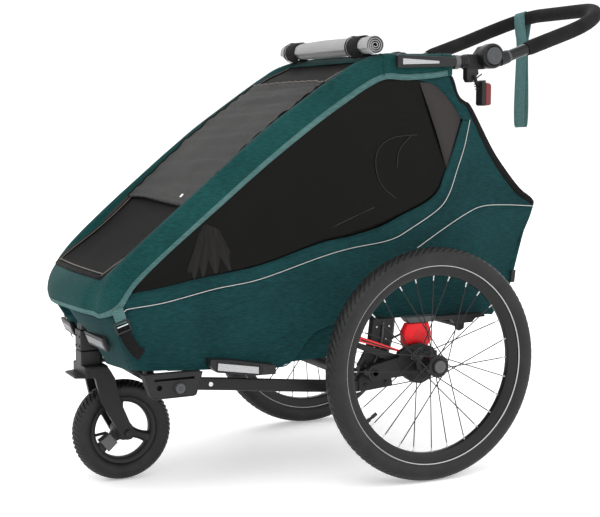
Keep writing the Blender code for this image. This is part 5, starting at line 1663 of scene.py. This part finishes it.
def make_rail_end(name, sign):
    """The rail's end: its reflector, ferrule, ribbed sleeve and the arm to the handlebar joint."""
    plate(name + "_rail_reflector_body", [(-0.044, 0.9), (-0.042, 0.902), (0.098, 0.899),
            (0.101, 0.896), (0.101, 0.883), (0.098, 0.88), (0.092, 0.879), (-0.042, 0.874),
            (-0.044, 0.876)], sign * 0.2104, sign * 0.22, "plastic", "upper_frame", 0.0014,
            replaces=[name + "_rail_reflector"])
    plate(name + "_rail_reflector_lens", [(-0.032, 0.8945), (-0.032, 0.8815), (0.058, 0.885),
            (0.058, 0.8905)], sign * 0.2195, sign * 0.2212, "silver", "upper_frame", 0.0006)

    def along(y):
        t = (y - 0.115) / 0.075
        return Vector((sign * (0.1905 - 0.0035 * max(0, t)), y, 0.8893 + 0.0085 * max(0, t)))

    fittings = bmesh.new()
    tube([along(0.098), along(0.12)], 0.0118, 28, fittings)
    piece(name + "_rail_end", fittings, "tube", "upper_frame", sharp=40)
    piece(name + "_rail_ferrule", lathe([(0.0122, 0.111), (0.015, 0.1112), (0.0158, 0.1125),
            (0.0158, 0.1215), (0.015, 0.123), (0.0122, 0.1232)], 40, True, "Y",
            (sign * 0.1912, 0, 0.89)), "light_plastic", "upper_frame", sharp=30, slot="hub_metal")
    sleeve = bmesh.new()
    for k in range(5):
        y = 0.1242 + 0.0042 * k
        centre = along(y)
        lathe([(0.006, 0.0), (0.0128, 0.0002), (0.014, 0.0008), (0.014, 0.0026), (0.0128, 0.0033),
                (0.006, 0.0035)], 32, True, "Y", (centre.x, y, centre.z), sleeve)
    lathe([(0.006, 0.1235), (0.012, 0.1236), (0.012, 0.1465), (0.006, 0.1466)], 32, True, "Y",
            (sign * 0.1902, 0, 0.8905), sleeve)
    piece(name + "_rail_sleeve", sleeve, "soft_plastic", "upper_frame")
    plate(name + "_joint_arm", [(0.144, 0.905), (0.147, 0.908), (0.172, 0.908), (0.185, 0.925),
            (0.201, 0.929), (0.216, 0.924), (0.224, 0.908), (0.221, 0.89), (0.208, 0.879),
            (0.19, 0.8755), (0.15, 0.874), (0.144, 0.877)], sign * 0.172, sign * 0.1922,
            "soft_plastic", "upper_frame", 0.0024, segments=3)


def make_rear_light():
    """The lamp on its rubber strap, hung from the left rail's end."""
    plate("light_holder", [(0.133, 0.876), (0.162, 0.876), (0.164, 0.865), (0.156, 0.856),
            (0.148, 0.846), (0.138, 0.846), (0.133, 0.854)], 0.196, 0.214, "plastic", "upper_frame",
            0.002, replaces=["rear_light"], segments=3)
    path = [Vector((0.216, 0.15, 0.862)), Vector((0.2175, 0.153, 0.85)),
            Vector((0.218, 0.158, 0.838)), Vector((0.2185, 0.16, 0.824))]
    strap = sweep(smooth_line(path, 5), flat_section(0.012, 0.003), SIDEWAYS)
    for k in range(6):
        p = path[0].lerp(path[-1], 0.1 + 0.14 * k)
        tube([p + Vector((-0.006, -0.0025, 0)), p + Vector((0.0065, -0.0025, 0))], 0.0012, 6, strap,
                UP)
    piece("light_strap", strap, "soft_plastic", "upper_frame", sharp=50, slot="cable_rubber")
    piece("light_hook", tube([Vector((0.218, 0.156, 0.856)), Vector((0.218, 0.162, 0.86)),
            Vector((0.218, 0.168, 0.864))], 0.0016, 8), "soft_plastic", "upper_frame", sharp=50,
            slot="cable_rubber")
    plate("light_case", [(0.156, 0.7985), (0.156, 0.846), (0.159, 0.849), (0.166, 0.851),
            (0.166, 0.795), (0.159, 0.7955)], 0.213, 0.239, "plastic", "upper_frame", 0.0026,
            segments=3)
    plate("light_lens", [(0.166, 0.7955), (0.166, 0.845), (0.178, 0.843), (0.1805, 0.839),
            (0.1805, 0.8), (0.178, 0.7965)], 0.2134, 0.2386, "red_lens", "upper_frame", 0.0032,
            segments=3)
    plate("light_window", [(0.1655, 0.8452), (0.1655, 0.851), (0.176, 0.849), (0.179, 0.844)],
            0.215, 0.237, "clear_lens", "upper_frame", 0.0014)


make_handlebar()
make_wrist_strap()
make_roll()
for side_name, side_sign in SIDES:
    make_rail_end(side_name, side_sign)
make_rear_light()


# ---------------------------------------------------------------- seat and harness

PAD_PRESSURE, PAD_STEPS, PAD_VOXEL = 4.0, 20, 0.005
SEAT_X, SEAT_FRONT, SEAT_BACK, SEAT_LOW, SEAT_TOP = 0.142, -0.227, 0.01, 0.3452, 0.383
BACK_X = 0.139
SEAT_SEAM_Y, SEAT_SEAM_X = -0.11, 0.095
BACK_SEAM_X, BACK_SEAMS_Z = 0.085, (0.56, 0.69)
BACK_OUTLINE = [
    (0.024, 0.356), (0.053, 0.354), (0.099, 0.765), (0.094, 0.773), (0.077, 0.773), (0.073, 0.768),
    (0.023, 0.402)]
STRAP_LINE = [
    (0.05, 0.0585, 0.72), (0.055, 0.0285, 0.62), (0.05, -0.0065, 0.54), (0.034, -0.0345, 0.48),
    (0.026, -0.0435, 0.458)]
STRAP_WIDTH = 0.024
RAIL_LINE = [
    (0.182, -0.62, 0.413), (0.181, -0.623, 0.447), (0.186, -0.614, 0.489), (0.189, -0.548, 0.55),
    (0.1895, -0.452, 0.634), (0.1895, -0.343, 0.722), (0.1895, -0.239, 0.793), (0.19, -0.168, 0.84),
    (0.19, -0.121, 0.867), (0.1905, -0.062, 0.884), (0.1905, 0.0, 0.887), (0.1905, 0.1255, 0.8895)]


def bake(obj):
    """Turn what the modifiers make into the object's own mesh."""
    graph = bpy.context.evaluated_depsgraph_get()
    made = bpy.data.meshes.new_from_object(obj.evaluated_get(graph), depsgraph=graph)
    obj.modifiers.clear()
    obj.data = made
    return made


def swell(obj, cap, seams):
    """Fill a pad as stuffed cloth; it is held where seams(point) is true."""
    remesh = obj.modifiers.new("remesh", "REMESH")
    remesh.mode = "VOXEL"
    remesh.voxel_size = PAD_VOXEL
    rest = bake(obj)
    before = [v.co.copy() for v in rest.vertices]
    held = obj.vertex_groups.new(name="held")
    held.add([v.index for v in rest.vertices if seams(v.co)], 1.0, "REPLACE")
    cloth = obj.modifiers.new("pad", "CLOTH")
    cloth.settings.use_pressure = True
    cloth.settings.uniform_pressure_force = PAD_PRESSURE
    cloth.settings.effector_weights.gravity = 0
    cloth.settings.vertex_group_mass = "held"
    for frame_number in range(1, PAD_STEPS + 1):
        bpy.context.scene.frame_set(frame_number)
    swollen = bake(obj)
    for v, start in zip(swollen.vertices, before):
        move = v.co - start
        if move.length > cap:
            v.co = start + move.normalized() * cap
    bpy.context.scene.frame_set(1)
    for polygon in obj.data.polygons:
        polygon.use_smooth = True
    soft = obj.modifiers.new("soft", "SUBSURF")
    soft.levels = 1
    soft.render_levels = 1
    return obj


def crumple(obj):
    """Give the piece a mesh of its own."""
    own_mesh(obj)


def make_seat():
    pad = piece("seat_pad", prism([(SEAT_FRONT, SEAT_LOW), (SEAT_BACK, SEAT_LOW),
            (SEAT_BACK, SEAT_TOP), (SEAT_FRONT, SEAT_TOP)], -SEAT_X, SEAT_X), "seat",
            replaces=["seat_cushion"])
    swell(pad, 0.006, lambda p: abs(p.y - SEAT_SEAM_Y) < 0.004 or p.z < SEAT_LOW + 0.003
            or abs(abs(p.x) - SEAT_SEAM_X) < 0.003)
    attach(pad, "chassis")

    pad = piece("seat_back_pad", prism(BACK_OUTLINE, -BACK_X, BACK_X), "seat",
            replaces=["seat_back"])
    swell(pad, 0.005, lambda p: abs(abs(p.x) - BACK_SEAM_X) < 0.003
            or any(abs(p.z - z) < 0.004 for z in BACK_SEAMS_Z))
    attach(pad, "chassis")
    crumple(pad)


def make_harness(name, sign):
    path = even_line(on_side(STRAP_LINE, sign), 40)
    strap = piece(name + "_shoulder_webbing", sweep(path, flat_section(STRAP_WIDTH, 0.0018)),
            "black_webbing", "chassis", [name + "_shoulder_strap"], 50, slot="webbing")
    crumple(strap)
    for edge in (-0.0095, 0.0095):
        line = [p + Vector((edge, -0.0012, 0)) for p in path]
        thread = piece("%s_strap_stitches_%s" % (name, "out" if edge * sign > 0 else "in"),
                stitches(line), "seat_trim", "chassis", slot="webbing")
        crumple(thread)
    profile = []
    for k, p in enumerate(path[2:20]):
        swelling = 1 - (2 * k / 17 - 1) ** 6
        profile.append((p, 0.017 * (0.82 + 0.18 * swelling), 0.002 + 0.003 * swelling))
    rows = []
    for p, wide, deep in profile:
        rows.append([p + Vector((wide * cos(t), deep * sin(t) - 0.0012, 0)) for t in around(20)])
    bm = bmesh.new()
    skin(bm, rows, False, True)
    pad = piece(name + "_shoulder_pad", bm, "seat_trim", "chassis", sharp=60)
    crumple(pad)


def make_buckle():
    shield = [
        (-0.0255, 0.452), (-0.0235, 0.4555), (0.0235, 0.4555), (0.0255, 0.452), (0.0235, 0.428),
        (0.013, 0.4145), (-0.013, 0.4145), (-0.0235, 0.428)]
    bm = prism(shield, -0.0595, -0.0405, "Y")
    prism([(-0.0125, 0.3906), (0.0125, 0.3906), (0.0125, 0.418), (-0.0125, 0.418)], -0.056, -0.053,
            "Y", bm)
    piece("buckle_shell", bm, "plastic", "chassis", ["harness_buckle"], 30, bevel=0.0016,
            segments=3)


def make_rails(name, sign):
    path = even_line(on_side(RAIL_LINE, sign), 70)
    piece(name + "_rail_tube", tube(path, 0.0105, 20), "tube", "upper_frame", [name + "_roof_rail"],
            60)


def make_rear_frame():
    """The beam under the body with its pivots, the brake's cross bar and their hangers."""
    low_y, low_z = ARM_Y, 0.215
    bm = tube([(-0.218, low_y, low_z), (0.218, low_y, low_z)], 0.014, 28, None, UP)
    tube([(-0.218, PEDAL_Y, PEDAL_Z), (0.218, PEDAL_Y, PEDAL_Z)], 0.009, 24, bm, UP)
    piece("rear_beam_tubes", bm, "tube", "chassis", ["rear_frame"], 50)
    bm = bmesh.new()
    for _, sign in SIDES:
        prism([(-0.133, 0.201), (-0.098, 0.201), (-0.095, 0.216), (-0.098, 0.262), (-0.122, 0.268),
                (-0.136, 0.216)], sign * 0.208, sign * 0.218, "X", bm)
        prism([(0.104, 0.343), (0.134, 0.343), (0.13, 0.306), (0.118, 0.301), (0.107, 0.306)],
                sign * 0.217, sign * 0.221, "X", bm)
        tube([(sign * 0.218, ARM_Y, ARM_Z), (sign * PIN_END, ARM_Y, ARM_Z)], 0.008, 24, bm, UP)
    piece("rear_beam_lugs", bm, "tube", "chassis", sharp=30, bevel=0.0016, segments=3)


make_seat()
make_rear_frame()
for side_name, side_sign in SIDES:
    make_harness(side_name, side_sign)
    make_rails(side_name, side_sign)
make_buckle()


# ---------------------------------------------------------------- carried-over parts and end

CARRIED_OVER = {
    "tube": ["left_swing_arm", "right_swing_arm", "left_rear_stay", "right_rear_stay",
             "stay_cross_tube", "front_hoop"],
    "soft_plastic": ["floor_pan", "caster_mount"],
    "grey_plastic": ["parking_brake_pedal"],
    "cable": ["brake_cable"],
    "red_plastic": ["harness_button"],
}


def repaint(node, key):
    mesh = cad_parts[node].data
    mesh.materials.clear()
    mesh.materials.append(PAINT[key])


for paint_key, node_names in CARRIED_OVER.items():
    for node_name in node_names:
        repaint(node_name, paint_key)
        if node_name != "brake_cable":
            bevelled(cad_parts[node_name], 0.0008, 2)


make_stage()
make_camera()
